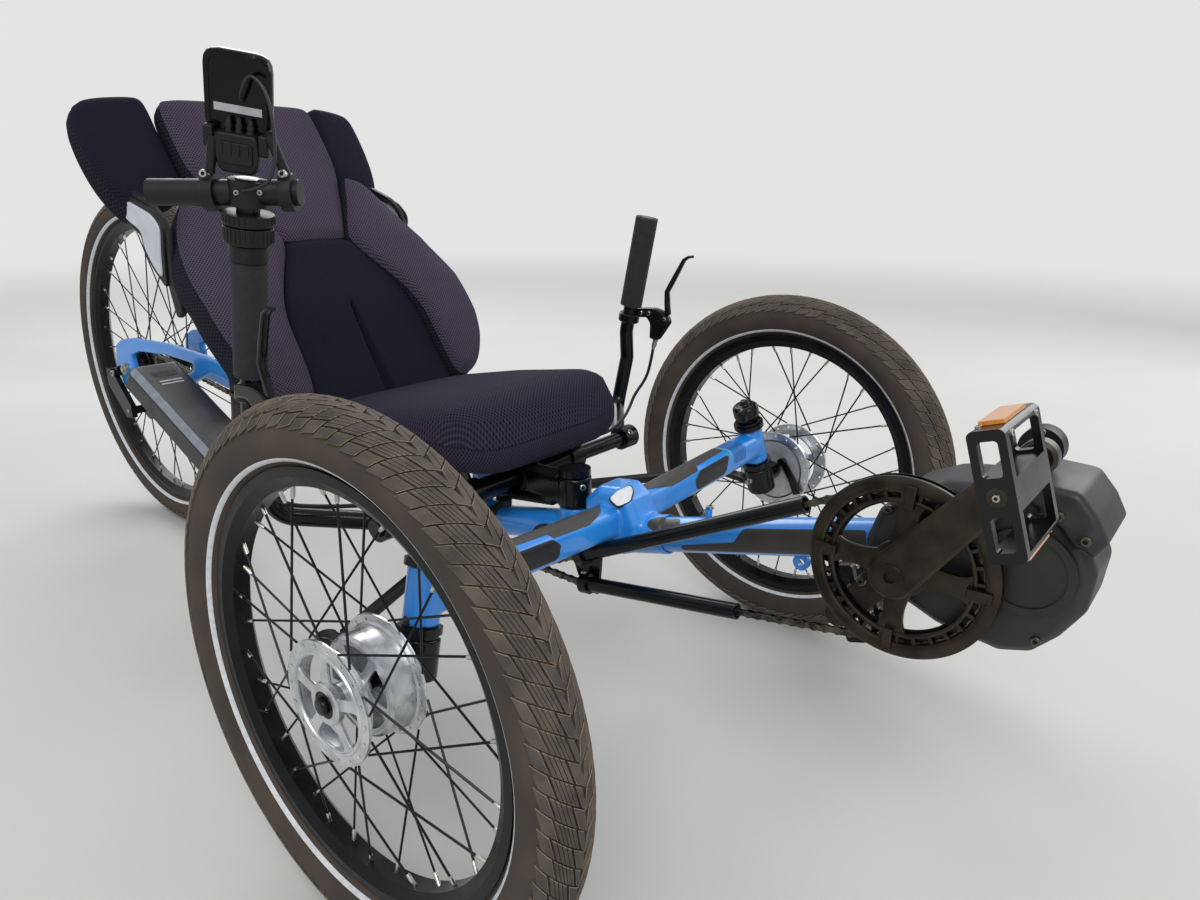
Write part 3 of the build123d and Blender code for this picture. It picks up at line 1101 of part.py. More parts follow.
with BuildPart() as seat_wings:
    for left in (238, -BACK_HALF - SEAT_GAP):
        slab(((-745, 666), (-800, 801), (-812, 818), (-836, 806), (-790, 680), (-772, 660)),
             left, 238 - BACK_HALF - SEAT_GAP)
    fillet(seat_wings.edges().filter_by(Axis.Y), 7)
save(seat_wings, "seat_wings")

PAN_HALF = 83.0
with BuildPart() as seat_pan:
    slab(((-150, 392), (-299, 371.5), (-462, 352), (-440, 345), (-290, 359.5), (-175, 375)), PAN_HALF, 2 * PAN_HALF)
save(seat_pan, "seat_pan")

FRAME_TUBE_R = 11.0
FRAME_TUBE_LEFT = 95.0
STAY_R = 7.0
BRACKET_TOP = 359.0
SEAT_UNDERSIDE = ((-160.0, 397.5), (-300.0, 372.0), (-486.1, 350.1), (-640.0, 592.0), (-826.0, 786.0))


def beside(points, gap):
    """The same side outline moved out by this gap, to the left of its heading."""
    moved = []
    for index, (ahead, up) in enumerate(points):
        headings = []
        for first, second in ((index - 1, index), (index, index + 1)):
            if first >= 0 and second < len(points):
                headings.append(atan2(points[second][1] - points[first][1], points[second][0] - points[first][0]))
        middle = sum(headings) / len(headings)
        reach = gap / cos(middle - headings[0])
        moved.append((ahead - reach * sin(middle), up + reach * cos(middle)))
    return moved


with BuildPart() as seat_frame:
    rail = beside(SEAT_UNDERSIDE, FRAME_TUBE_R + SEAT_GAP)
    for side in (1, -1):
        bent_bar([spot(ahead, side * FRAME_TUBE_LEFT, up) for ahead, up in rail], 30, FRAME_TUBE_R)
        bar(spot(-700, side * FRAME_TUBE_LEFT, 636), spot(SPRING_FRONT + 11.3, side * 26, SPRING_Z - 4), STAY_R)
        bar(spot(SPRING_FRONT + 12.3, side * (16 + SEAT_GAP), SPRING_Z - 4),
            spot(SPRING_FRONT + 12.3, side * 30, SPRING_Z - 4), 9)
    for ahead, up in (rail[2], rail[4]):
        bar(spot(ahead, FRAME_TUBE_LEFT, up), spot(ahead, -FRAME_TUBE_LEFT, up), FRAME_TUBE_R)
    with BuildSketch(Plane.XY.offset(BRACKET_TOP - 18)) as cross:
        with Locations((FRONT_X - BRACKET_BACK, 0)):
            Rectangle(28, 2 * FRAME_TUBE_LEFT)
    extrude(cross.sketch, amount=18)
save(seat_frame, "seat_frame")
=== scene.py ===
import bmesh
import bpy
import math
from mathutils import Matrix, Vector
from mathutils.bvhtree import BVHTree
from mathutils.geometry import delaunay_2d_cdt


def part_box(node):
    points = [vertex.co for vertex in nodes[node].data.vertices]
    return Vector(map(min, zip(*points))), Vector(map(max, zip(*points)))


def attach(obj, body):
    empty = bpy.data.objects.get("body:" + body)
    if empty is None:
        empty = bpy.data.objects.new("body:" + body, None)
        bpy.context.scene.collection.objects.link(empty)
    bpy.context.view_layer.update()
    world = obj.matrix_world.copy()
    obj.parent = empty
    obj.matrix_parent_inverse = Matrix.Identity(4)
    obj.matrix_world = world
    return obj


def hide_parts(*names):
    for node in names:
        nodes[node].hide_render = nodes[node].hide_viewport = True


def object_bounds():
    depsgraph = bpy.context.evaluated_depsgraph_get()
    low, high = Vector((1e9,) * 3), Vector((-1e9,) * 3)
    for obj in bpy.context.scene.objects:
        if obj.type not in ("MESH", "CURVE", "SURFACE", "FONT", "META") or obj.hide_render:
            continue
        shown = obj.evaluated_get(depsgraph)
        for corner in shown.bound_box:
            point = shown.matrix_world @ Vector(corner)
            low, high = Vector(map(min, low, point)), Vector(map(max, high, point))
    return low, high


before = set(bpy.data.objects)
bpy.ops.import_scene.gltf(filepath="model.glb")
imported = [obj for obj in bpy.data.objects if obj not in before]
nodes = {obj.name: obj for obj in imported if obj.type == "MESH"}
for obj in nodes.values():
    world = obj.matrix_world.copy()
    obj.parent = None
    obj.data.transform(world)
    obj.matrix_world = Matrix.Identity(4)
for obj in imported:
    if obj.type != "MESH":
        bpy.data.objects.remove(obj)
cad_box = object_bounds()

# Camera: stands off the trike's right front corner at about hip height,
# with a short lens, and looks down across the near wheel to the seat.
CAMERA_PLACE = (1.0972, -0.7962, 0.7079)
YAW, PITCH, ROLL = 128.73, -17.71, 0.245
LENS_LONG, SENSOR_WIDE = 25.89, 36.0
camera = bpy.data.objects.new("camera", bpy.data.cameras.new("camera"))
bpy.context.scene.collection.objects.link(camera)
bpy.context.scene.camera = camera
camera.data.sensor_width = SENSOR_WIDE
camera.data.lens = LENS_LONG
camera.matrix_world = (
    Matrix.Translation(CAMERA_PLACE)
    @ Matrix.Rotation(math.radians(YAW - 90), 4, "Z")
    @ Matrix.Rotation(math.radians(90 + PITCH), 4, "X")
    @ Matrix.Rotation(math.radians(ROLL), 4, "Z")
)


# Studio floor: pale matt vinyl sheet that lies flat under the wheels. Far from
# the trike it fades into the white of the backdrop, so no edge of it is seen.
def tone(code):
    """sRGB hex such as '#2F8FE0' as linear red, green, blue, alpha."""
    parts = [int(code[i:i + 2], 16) / 255 for i in (1, 3, 5)]
    return [p / 12.92 if p <= 0.04045 else ((p + 0.055) / 1.055) ** 2.4 for p in parts] + [1.0]


def add(tree, kind, feeds=None, **settings):
    """Adds one node with its settings; feeds are socket values, or sockets to link from."""
    made = tree.nodes.new(kind)
    for key, value in settings.items():
        setattr(made, key, value)
    for key, value in (feeds or {}).items():
        if isinstance(value, bpy.types.NodeSocket):
            tree.links.new(value, made.inputs[key])
        else:
            made.inputs[key].default_value = value
    return made


def surface(name, code, **sockets):
    """New material with its node tree and shader; sockets are the shader's own values."""
    made = bpy.data.materials.new(name)
    made.use_nodes = True
    shader = made.node_tree.nodes["Principled BSDF"]
    shader.inputs["Base Color"].default_value = tone(code)
    for key, value in sockets.items():
        shader.inputs[key.replace("_", " ")].default_value = value
    return made, made.node_tree, shader


NOISE_LOW, NOISE_HIGH = 0.35, 0.68


def grained(name, low, high, size_mm, rough, relief_mm=0.0, relief_size_mm=0.0, **sockets):
    """Material whose colour and roughness drift together; relief is a fine bump of its own size."""
    made, tree, shader = surface(name, low, **sockets)
    place = add(tree, "ShaderNodeTexCoord").outputs["Object"]
    drift = add(tree, "ShaderNodeTexNoise", {"Vector": place, "Scale": 1000 / size_mm, "Detail": 6.0})
    spread = {"Value": drift.outputs["Fac"], "From Min": NOISE_LOW, "From Max": NOISE_HIGH}
    share = add(tree, "ShaderNodeMapRange", spread).outputs["Result"]
    blend = add(tree, "ShaderNodeMix", {"Factor": share}, data_type="RGBA")
    blend.inputs[6].default_value = tone(low)
    blend.inputs[7].default_value = tone(high)
    tree.links.new(blend.outputs[2], shader.inputs["Base Color"])
    gloss = add(tree, "ShaderNodeMapRange", {"Value": share, "To Min": rough[0], "To Max": rough[1]})
    tree.links.new(gloss.outputs["Result"], shader.inputs["Roughness"])
    if relief_mm:
        pits = add(tree, "ShaderNodeTexNoise",
                   {"Vector": place, "Scale": 1000 / relief_size_mm, "Detail": 4.0})
        bump = add(tree, "ShaderNodeBump", {"Height": pits.outputs["Fac"], "Distance": relief_mm / 1000})
        tree.links.new(bump.outputs["Normal"], shader.inputs["Normal"])
    return made


FLOOR_HALF = 30.0
FADE_START, FADE_END = 2.2, 7.5
BACKDROP_WHITE = "#E4E4E2"
# Matt vinyl: an even warm grey that takes the wheels' soft shadows.
floor_sheet = grained("vinyl_sheet", "#C6C5C1", "#CCCBC7", 900, (0.65, 0.75))
floor_tree = floor_sheet.node_tree
reach = add(floor_tree, "ShaderNodeTexCoord").outputs["Object"]
away = add(floor_tree, "ShaderNodeVectorMath", {0: reach}, operation="LENGTH")
fade = add(floor_tree, "ShaderNodeMapRange",
           {"Value": away.outputs["Value"], "From Min": FADE_START, "From Max": FADE_END},
           interpolation_type="SMOOTHSTEP")
seen = add(floor_tree, "ShaderNodeLightPath")
only_seen = add(floor_tree, "ShaderNodeMath", {0: fade.outputs["Result"], 1: seen.outputs["Is Camera Ray"]},
                operation="MULTIPLY")
haze = add(floor_tree, "ShaderNodeEmission", {"Color": tone(BACKDROP_WHITE), "Strength": 1.0})
mixed = add(floor_tree, "ShaderNodeMixShader", {0: only_seen.outputs["Value"]})
floor_tree.links.new(floor_tree.nodes["Principled BSDF"].outputs["BSDF"], mixed.inputs[1])
floor_tree.links.new(haze.outputs["Emission"], mixed.inputs[2])
floor_tree.links.new(mixed.outputs["Shader"], floor_tree.nodes["Material Output"].inputs["Surface"])
floor_mesh = bpy.data.meshes.new("floor")
floor_corners = [(x * FLOOR_HALF, y * FLOOR_HALF, cad_box[0].z)
                 for x, y in ((-1, -1), (1, -1), (1, 1), (-1, 1))]
floor_mesh.from_pydata(floor_corners, [], [(0, 1, 2, 3)])
floor_mesh.materials.append(floor_sheet)
floor = bpy.data.objects.new("floor", floor_mesh)
bpy.context.scene.collection.objects.link(floor)

# Sky and soft boxes: an even cool white sky, and three large soft boxes round the
# trike that put long highlights on its tubes and soft shadows under its wheels.
SKY_STRENGTH = 0.72
SOFT_BOXES = (
    # place, power in watts, side in metres
    ((2.4, -2.4, 3.2), 85.0, 2.2),
    ((-2.8, 1.8, 3.0), 70.0, 2.4),
    ((1.2, 3.2, 1.8), 26.0, 2.0),
)
sky = bpy.data.worlds.new("sky")
bpy.context.scene.world = sky
sky.use_nodes = True
sky_light = sky.node_tree.nodes["Background"]
sky_light.inputs["Color"].default_value = tone("#F2F5F8")
sky_light.inputs["Strength"].default_value = SKY_STRENGTH
ray = add(sky.node_tree, "ShaderNodeLightPath").outputs
direct = add(sky.node_tree, "ShaderNodeMath", {0: ray["Is Camera Ray"], 1: ray["Is Transmission Ray"]},
             operation="MAXIMUM")
backdrop = add(sky.node_tree, "ShaderNodeBackground", {"Color": tone(BACKDROP_WHITE), "Strength": 1.0})
choice = add(sky.node_tree, "ShaderNodeMixShader", {0: direct.outputs["Value"]})
sky.node_tree.links.new(sky_light.outputs["Background"], choice.inputs[1])
sky.node_tree.links.new(backdrop.outputs["Background"], choice.inputs[2])
sky.node_tree.links.new(choice.outputs["Shader"], sky.node_tree.nodes["World Output"].inputs["Surface"])
bpy.context.scene.view_settings.view_transform = "Standard"
for index, (place, power, side) in enumerate(SOFT_BOXES):
    lamp = bpy.data.lights.new(f"soft_box_{index}", "AREA")
    lamp.energy = power
    lamp.size = side
    box = bpy.data.objects.new(f"soft_box_{index}", lamp)
    box.location = place
    box.rotation_euler = (-Vector(place)).to_track_quat("-Z", "Y").to_euler()
    bpy.context.scene.collection.objects.link(box)


# Main frame: welded steel tubes and formed plates, powder-coated gloss azure; the
# seat's own frame, the fold hinge and what lies behind it are coated satin black.
def coat(name, low, high, rough):
    """Powder coat: faint orange peel under a clear layer that gives a hard, narrow highlight."""
    return grained(name, low, high, 60, rough, 0.05, 2.2, Coat_Weight=0.6, Coat_Roughness=0.08)


def dress(material, *names):
    """Gives these CAD nodes one material."""
    for name in names:
        nodes[name].data.materials.clear()
        nodes[name].data.materials.append(material)


def softened(name, material, body, slot, cell_mm, rounds, *replaced):
    """Piece in the form of these nodes, with every edge rounded off as welds, moulds and dies leave them."""
    joined = bmesh.new()
    for node in replaced:
        mesh = nodes[node].data.copy()
        mesh.transform(nodes[node].matrix_world)
        joined.from_mesh(mesh)
        bpy.data.meshes.remove(mesh)
    mesh = bpy.data.meshes.new(name)
    bmesh.ops.remove_doubles(joined, verts=joined.verts, dist=0.00002)
    joined.to_mesh(mesh)
    joined.free()
    piece = bpy.data.objects.new(name, mesh)
    bpy.context.scene.collection.objects.link(piece)
    even = piece.modifiers.new("even", "REMESH")
    even.mode = "VOXEL"
    even.voxel_size = cell_mm / 1000
    relax = piece.modifiers.new("relax", "SMOOTH")
    relax.factor = 0.5
    relax.iterations = rounds
    made = bpy.data.meshes.new_from_object(piece.evaluated_get(bpy.context.evaluated_depsgraph_get()))
    piece.modifiers.clear()
    piece.data = made
    made.materials.clear()
    made.materials.append(material)
    made.shade_smooth()
    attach(piece, body)
    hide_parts(*replaced)


# Azure coat: a clear strong blue that shows the sky along each tube.
azure_coat = coat("azure_powder_coat", "#2084DC", "#2B8EE6", (0.28, 0.36))
dress(azure_coat, "boom")
softened("cross_frame_welded", azure_coat, "frame", "azure_frame", 2.0, 7, "cross_frame")
softened("swingarm_formed", azure_coat, "frame", "azure_frame", 2.2, 6, "swingarm")
# Black coat: satin black with a softer, wider highlight than the azure.
black_coat = coat("black_powder_coat", "#101113", "#17181B", (0.32, 0.45))
dress(black_coat, "fold_hinge", "rear_frame", "seat_frame", "battery_mount")


# Tyres: black rubber with chevron tread blocks cut by fine sipes, dusty from
# gravel; a smooth sidewall carries one reflective stripe beside the rim.
def at(ahead, left, up):
    """Point in the row frame from millimetres ahead of the front axle line, left and up."""
    return Vector((0.507 + ahead / 1000, left / 1000, up / 1000))


def show(name, build, material, body, smooth=38.0):
    """Turns a filled bmesh into a piece that rides on a body."""
    mesh = bpy.data.meshes.new(name)
    bmesh.ops.recalc_face_normals(build, faces=build.faces)
    build.to_mesh(mesh)
    build.free()
    for each in material if isinstance(material, (list, tuple)) else [material]:
        mesh.materials.append(each)
    mesh.shade_smooth()
    mesh.set_sharp_from_angle(angle=math.radians(smooth))
    piece = bpy.data.objects.new(name, mesh)
    bpy.context.scene.collection.objects.link(piece)
    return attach(piece, body)


def between(near, far):
    """Corners of each face that joins two closed rings of vertices."""
    for i in range(len(near)):
        j = (i + 1) % len(near)
        yield near[i], near[j], far[j], far[i]


def turned(build, centre, axis, profile, steps=48, finish=0, closed=False):
    """Adds a lathe surface in one of the piece's finishes; profile is (along, radius) in millimetres."""
    axis = Vector(axis).normalized()
    across = axis.orthogonal().normalized()
    upward = axis.cross(across)
    rings = []
    for along, radius in profile:
        middle = centre + axis * (along / 1000)
        if radius < 0.01:
            rings.append([build.verts.new(middle)] * steps)
            continue
        turns = [2 * math.pi * i / steps for i in range(steps)]
        spokes = [across * math.cos(turn) + upward * math.sin(turn) for turn in turns]
        rings.append([build.verts.new(middle + spoke * (radius / 1000)) for spoke in spokes])
    for near, far in list(zip(rings[:-1], rings[1:])) + ([(rings[-1], rings[0])] if closed else []):
        for corners in between(near, far):
            corners = list(dict.fromkeys(corners))
            if len(corners) > 2:
                build.faces.new(corners).material_index = finish


# Sizes in millimetres; across the tread they are measured along its arc from the middle.
TREAD_ARC = 30.0
TREAD_DEPTH = 2.6
TREAD_LEAN = 68.0
PITCH_ROWS = {"left": 92, "right": 92, "rear": 116}
SKEW, SKEW_FROM = 0.72, 35.5
SHOULDER_END = 40.0
GROOVE = 1.7
SIPE = 0.55
WORN_EDGE = 0.6
BEND = 4.5
ROW_CUTS = (
    # outer and inner end of the ribbed field, end of the middle block, ribs: narrow row, wide row
    (26.8, 9.5, 2.6, 5),
    (29.0, 12.5, -3.0, 4),
)
STRIPE_RISES = (11.0, 15.0)
SECTION_STEPS = 144
WHEELS = {
    # centre, tyre radius, bead radius
    "left": (at(0, 407.25, 268), 268.0, 203.0),
    "right": (at(0, -407.25, 268), 268.0, 203.0),
    "rear": (at(-1188, 0, 337.6), 337.6, 279.5),
}


def rubber(name, low, high, size_mm, relief_mm):
    """Moulded tyre rubber: no shine, dust that lies in patches, and a fine mould grain."""
    return grained(name, low, high, size_mm, (0.62, 0.9), relief_mm, 0.9, IOR=1.5, Specular_IOR_Level=0.3)


# Brown-grey blocks with pale dusty edges, darker grooves, and a cleaner, browner sidewall.
tread_rubber = rubber("tread_rubber", "#3C3936", "#5E564D", 26, 0.12)
dusty_edge = rubber("dusty_tread_edge", "#6E6252", "#94816A", 14, 0.1)
groove_rubber = rubber("groove_rubber", "#2A2724", "#5C5246", 10, 0.15)
wall_rubber = rubber("sidewall_rubber", "#38322E", "#4E443B", 70, 0.05)
# Glass-bead film: an even silver grey that looks the same from every side.
stripe_film = grained("reflective_stripe", "#BFC2C6", "#D6D8DA", 6, (0.3, 0.45))


def arc_through(first, middle, last, count):
    """Points on the circle through three points of a section."""
    (ax, ay), (bx, by), (cx, cy) = first, middle, last
    a, b, c = ax * ax + ay * ay, bx * bx + by * by, cx * cx + cy * cy
    twice = 2 * (ax * (by - cy) + bx * (cy - ay) + cx * (ay - by))
    x = (a * (by - cy) + b * (cy - ay) + c * (ay - by)) / twice
    y = (a * (cx - bx) + b * (ax - cx) + c * (bx - ax)) / twice
    radius = math.hypot(ax - x, ay - y)
    start = math.atan2(ay - y, ax - x)
    sweep = (math.atan2(cy - y, cx - x) - start + math.pi) % (2 * math.pi) - math.pi
    turns = [start + sweep * i / count for i in range(count + 1)]
    return [(x + radius * math.cos(turn), y + radius * math.sin(turn)) for turn in turns]


def tyre(name):
    """Tread blocks, carcass and reflective stripe of one wheel's tyre."""
    centre, crown_r, bead_r = WHEELS[name]
    tread_centre = crown_r - TREAD_ARC
    rows = PITCH_ROWS[name]
    pitch = 2 * math.pi * crown_r / rows
    build = bmesh.new()

    def on_tread(across, along, height):
        """Point on the tread's crown: across its arc, along its circumference, height above it."""
        lean = across / TREAD_ARC
        turn = along / crown_r
        out = tread_centre + (TREAD_ARC + height) * math.cos(lean)
        side = (TREAD_ARC + height) * math.sin(lean)
        return centre + Vector((out * math.cos(turn), side, out * math.sin(turn))) / 1000

    def block(corners, top_drop=0.0):
        """One block from its outline in (across, along): floor, edge and top rings."""
        mid_a = sum(c[0] for c in corners) / len(corners)
        mid_b = sum(c[1] for c in corners) / len(corners)
        rings = []
        for height, inset in ((-TREAD_DEPTH - 0.3, 0.0), (-0.35 - top_drop, 0.0), (-top_drop, WORN_EDGE)):
            ring = []
            for a, b in corners:
                keep = 1 - inset / math.hypot(a - mid_a, b - mid_b)
                spot = on_tread(mid_a + (a - mid_a) * keep, mid_b + (b - mid_b) * keep, height)
                ring.append(build.verts.new(spot))
            rings.append(ring)
        for near, far, skin in ((rings[0], rings[1], 0), (rings[1], rings[2], 1)):
            for quad in between(near, far):
                build.faces.new(quad).material_index = skin
        build.faces.new(rings[2]).material_index = 0

    def strip(outer, inner, top, bottom, hand, top_drop=0.0):
        """Block between two lines across the tread, one row long; it is split where it bends."""
        corners = []
        count = 3 if outer - inner > 7 else 1
        for i in range(count + 1):
            a = outer + (inner - outer) * i / count
            corners.append((a, top + SKEW * (SKEW_FROM - a)))
        for i in range(count + 1):
            a = inner + (outer - inner) * i / count - BEND * (bottom - top) / pitch
            corners.append((a, bottom + SKEW * (SKEW_FROM - a)))
        block([(hand * a, -b) for a, b in corners], top_drop)

    for row in range(rows):
        odd = row % 2
        for hand in (1, -1):
            wide = odd if hand > 0 else 1 - odd
            top = row * pitch + GROOVE / 2
            bottom = (row + 1) * pitch - GROOVE / 2
            first_cut, second_cut, centre_cut, ribs = ROW_CUTS[wide]
            strip(SHOULDER_END, first_cut + GROOVE / 2, top, bottom, hand)
            rib = (first_cut - second_cut - GROOVE) / ribs
            for i in range(ribs):
                outer = first_cut - GROOVE / 2 - i * rib
                strip(outer - SIPE / 2, outer - rib + SIPE / 2, top, bottom, hand, 0.15)
            strip(second_cut - GROOVE * 0.6, centre_cut + GROOVE * 0.4 + BEND * wide, top, bottom, hand)
    show(f"tread_{name}", build, [tread_rubber, dusty_edge], f"wheel_{name}", 30)

    build = bmesh.new()
    floor_r = TREAD_ARC - TREAD_DEPTH
    leans = [math.radians(TREAD_LEAN - i * TREAD_LEAN / 9) for i in range(10)]
    under = [(floor_r * math.sin(lean), tread_centre + floor_r * math.cos(lean)) for lean in leans]
    shoulder = under[0]
    side = arc_through((12.4, bead_r + 7), (28.2, (bead_r + 8 + crown_r - 12) / 2),
                       (shoulder[0] + 1.2, shoulder[1] - 2), 40)
    half = [(12.3, bead_r + 0.2), (12.4, bead_r + 5)] + side + [(shoulder[0] + 0.9, shoulder[1] - 1)] + under
    ring = half + [(-a, r) for a, r in reversed(half[:-1])]
    turned(build, centre, (0, 1, 0), ring, SECTION_STEPS)
    for face in build.faces:
        distance = face.calc_center_median() - centre
        radius = math.hypot(distance.x, distance.z) * 1000
        face.material_index = 1 if radius > shoulder[1] + 1 else 0
    carcass = show(f"carcass_{name}", build, [wall_rubber, groove_rubber], f"wheel_{name}", 60)
    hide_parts(f"tyre_{name}")

    build = bmesh.new()
    low, high = [min(range(len(side)), key=lambda k: abs(side[k][1] - bead_r - rise))
                 for rise in STRIPE_RISES]
    band = [side[k] for k in range(low, high + 1)]
    for hand in (1, -1):
        ring = []
        for index, (a, r) in enumerate(band):
            before, after = band[max(0, index - 1)], band[min(len(band) - 1, index + 1)]
            tangent = Vector((after[0] - before[0], after[1] - before[1])).normalized()
            raised = 0.15 if index in (0, len(band) - 1) else 0.45
            ring.append((hand * (a + tangent.y * raised), r - tangent.x * raised))
        turned(build, centre, (0, 1, 0), ring, SECTION_STEPS)
    show(f"stripe_{name}", build, stripe_film, f"wheel_{name}", 60)


for name in WHEELS:
    tyre(name)

# Rims and spokes: box-section aluminium rims, anodised black, laced with
# black steel spokes; each spoke ends in a plated brass nipple.
# Dyed anodising: near black with a satin gleam along the rim's box section.
rim_anodised = grained("black_anodised_aluminium", "#0C0D0E", "#17181A", 30, (0.26, 0.4), Metallic=0.6)
dress(rim_anodised, "rim_left", "rim_right", "rim_rear")
# Nickel plate: small warm silver glints where the spokes meet the rim.
nipple_plate = grained("nickel_plate", "#B8B2A6", "#D8D4CC", 5, (0.2, 0.4), Metallic=1.0)
SPOKES = 36
SPOKE_CROSSING = 38.0
LACING = {
    # radius of the flange's hole circle and half the width between the flanges
    "left": (59.0, 30.0), "right": (59.0, 30.0), "rear": (31.0, 34.0),
}
NIPPLE_LONG, NIPPLE_DEEP = 13.0, 11.5
NIPPLE = ((-2, 0), (-2, 3.2), (0.5, 3.2), (1, 2.1), (NIPPLE_LONG - 2, 2.1), (NIPPLE_LONG, 1.5))
for name, (centre, _, bead_r) in WHEELS.items():
    flange_r, flange_half = LACING[name]
    head_r = bead_r - NIPPLE_DEEP
    build = bmesh.new()
    for group in range(SPOKES // 4):
        for hole, flange, crossing in ((0, 1, -1), (2, 1, 1), (1, -1, -1), (3, -1, 1)):
            rim_turn = math.radians((hole + 4 * group) * 360 / SPOKES)
            hub_turn = rim_turn + math.radians(SPOKE_CROSSING) * crossing
            foot_x, foot_z = flange_r * math.cos(hub_turn), -flange_r * math.sin(hub_turn)
            head_x, head_z = head_r * math.cos(rim_turn), -head_r * math.sin(rim_turn)
            foot, head = Vector((foot_x, flange * flange_half, foot_z)), Vector((head_x, flange * 2, head_z))
            turned(build, centre + head / 1000, foot - head, NIPPLE, 10)
    show(f"nipples_{name}", build, nipple_plate, f"wheel_{name}")

# Drum hubs: cast and turned aluminium left bright. The outer flange is a five-arm
# star with drilled spoke holes; the brake drum fills the inner half.
def even_steps(points, steps_in):
    """Closed line divided into equal steps; steps_in gives their number from its length."""
    loop = points + points[:1]
    lengths = [0.0]
    for here, after in zip(loop[:-1], loop[1:]):
        lengths.append(lengths[-1] + (after - here).length)
    count = steps_in(lengths[-1])
    even, index = [], 0
    for i in range(count):
        target = lengths[-1] * i / count
        while lengths[index + 1] < target:
            index += 1
        share = (target - lengths[index]) / max(1e-9, lengths[index + 1] - lengths[index])
        even.append(loop[index].lerp(loop[index + 1], share))
    return even


def smooth_outline(corners, step=4.0, rounds=3):
    """Closed outline with its corners cut smooth, in equal steps of about this many millimetres."""
    points = [Vector(c) for c in corners]
    for _ in range(rounds):
        cut = []
        for here, after in zip(points, points[1:] + points[:1]):
            cut += [here.lerp(after, 0.25), here.lerp(after, 0.75)]
        points = cut
    return even_steps(points, lambda length: max(24, round(length / step)))


def eased(corners, radius):
    """Closed outline whose corners are rounded off, from this many millimetres before each."""
    soft = []
    for index, corner in enumerate(corners):
        corner = Vector(corner)
        legs = [Vector(corners[index - 1]) - corner, Vector(corners[(index + 1) % len(corners)]) - corner]
        start, end = [corner + leg * min(0.45, radius / leg.length) for leg in legs]
        for t in (0, 0.25, 0.5, 0.75, 1):
            soft.append(start * (1 - t) ** 2 + corner * 2 * t * (1 - t) + end * t * t)
    return soft


def circle(radius, count, x=0.0, y=0.0):
    """Outline of a round hole or disc."""
    return [(x + radius * math.cos(2 * math.pi * i / count), y + radius * math.sin(2 * math.pi * i / count))
            for i in range(count)]


def facing(centre, turn=0.0):
    """Frame of a wheel's side face: local x ahead, local y up, thickness along the axle."""
    upright = Matrix.Rotation(math.radians(90), 4, "X")
    return Matrix.Translation(centre) @ upright @ Matrix.Rotation(turn, 4, "Z")


def plate(build, outlines, place, thick, bevel, finish=0):
    """Adds a flat plate with cut-outs; outlines are closed loops in millimetres, the outside one first."""
    cut = bpy.data.curves.new("cut", "CURVE")
    cut.dimensions = "2D"
    cut.fill_mode = "BOTH"
    cut.extrude = max(0.0, thick / 2 - bevel) / 1000
    cut.bevel_depth = bevel / 1000
    cut.bevel_resolution = 1
    cut.offset = -bevel / 1000
    for loop in outlines:
        line = cut.splines.new("POLY")
        line.points.add(len(loop) - 1)
        for point, (x, y) in zip(line.points, loop):
            point.co = (x / 1000, y / 1000, 0, 1)
        line.use_cyclic_u = True
    carrier = bpy.data.objects.new("cut", cut)
    mesh = bpy.data.meshes.new_from_object(carrier)
    mesh.transform(place)
    for face in mesh.polygons:
        face.material_index = finish
    build.from_mesh(mesh)
    bpy.data.objects.remove(carrier)
    bpy.data.meshes.remove(mesh)
    bpy.data.curves.remove(cut)


def window(start, end, inner, outer, arm):
    """Outline of one opening between two arms of a star, angles in degrees, with round corners."""
    corners = []
    for radius, way in ((outer, 1), (inner, -1)):
        back = math.degrees(math.asin(arm / 2 / radius))
        first, last = (start + back, end - back)[::way]
        for i in range(7):
            angle = math.radians(first + (last - first) * i / 6)
            corners.append((radius * math.cos(angle), radius * math.sin(angle)))
    return smooth_outline(corners, 1.5, 2)


HUB_ARMS = 5
FLANGE_R = 59.0
FLANGE_HOLES, HOLE_CIRCLE, HOLE_R = 18, 54.2, 1.5


def star(turn, inner, outer, arm):
    """Outlines of the openings between the arms of a star."""
    step = 360 // HUB_ARMS
    return [window(turn + step * i, turn + step * (i + 1), inner, outer, arm) for i in range(HUB_ARMS)]


def spoke_holes(turn):
    """Outlines of one flange's drilled spoke holes."""
    angles = [math.radians(360 // FLANGE_HOLES * i + turn) for i in range(FLANGE_HOLES)]
    return [circle(HOLE_R, 10, HOLE_CIRCLE * math.cos(angle), HOLE_CIRCLE * math.sin(angle))
            for angle in angles]


# Turned aluminium: bright silver, with fine tool marks that break up its highlights.
drum_alloy = grained("turned_aluminium", "#B5B8BC", "#D8DADC", 18, (0.22, 0.4), 0.02, 1.2, Metallic=0.9)
# Rubber of seals and plugs: black without a highlight. The same black is painted shade inside the bolt
# sockets and in the battery's finger recess.
rubber_and_painted_shade = grained("rubber_and_painted_shade", "#0F0F10", "#191919", 8, (0.5, 0.7))
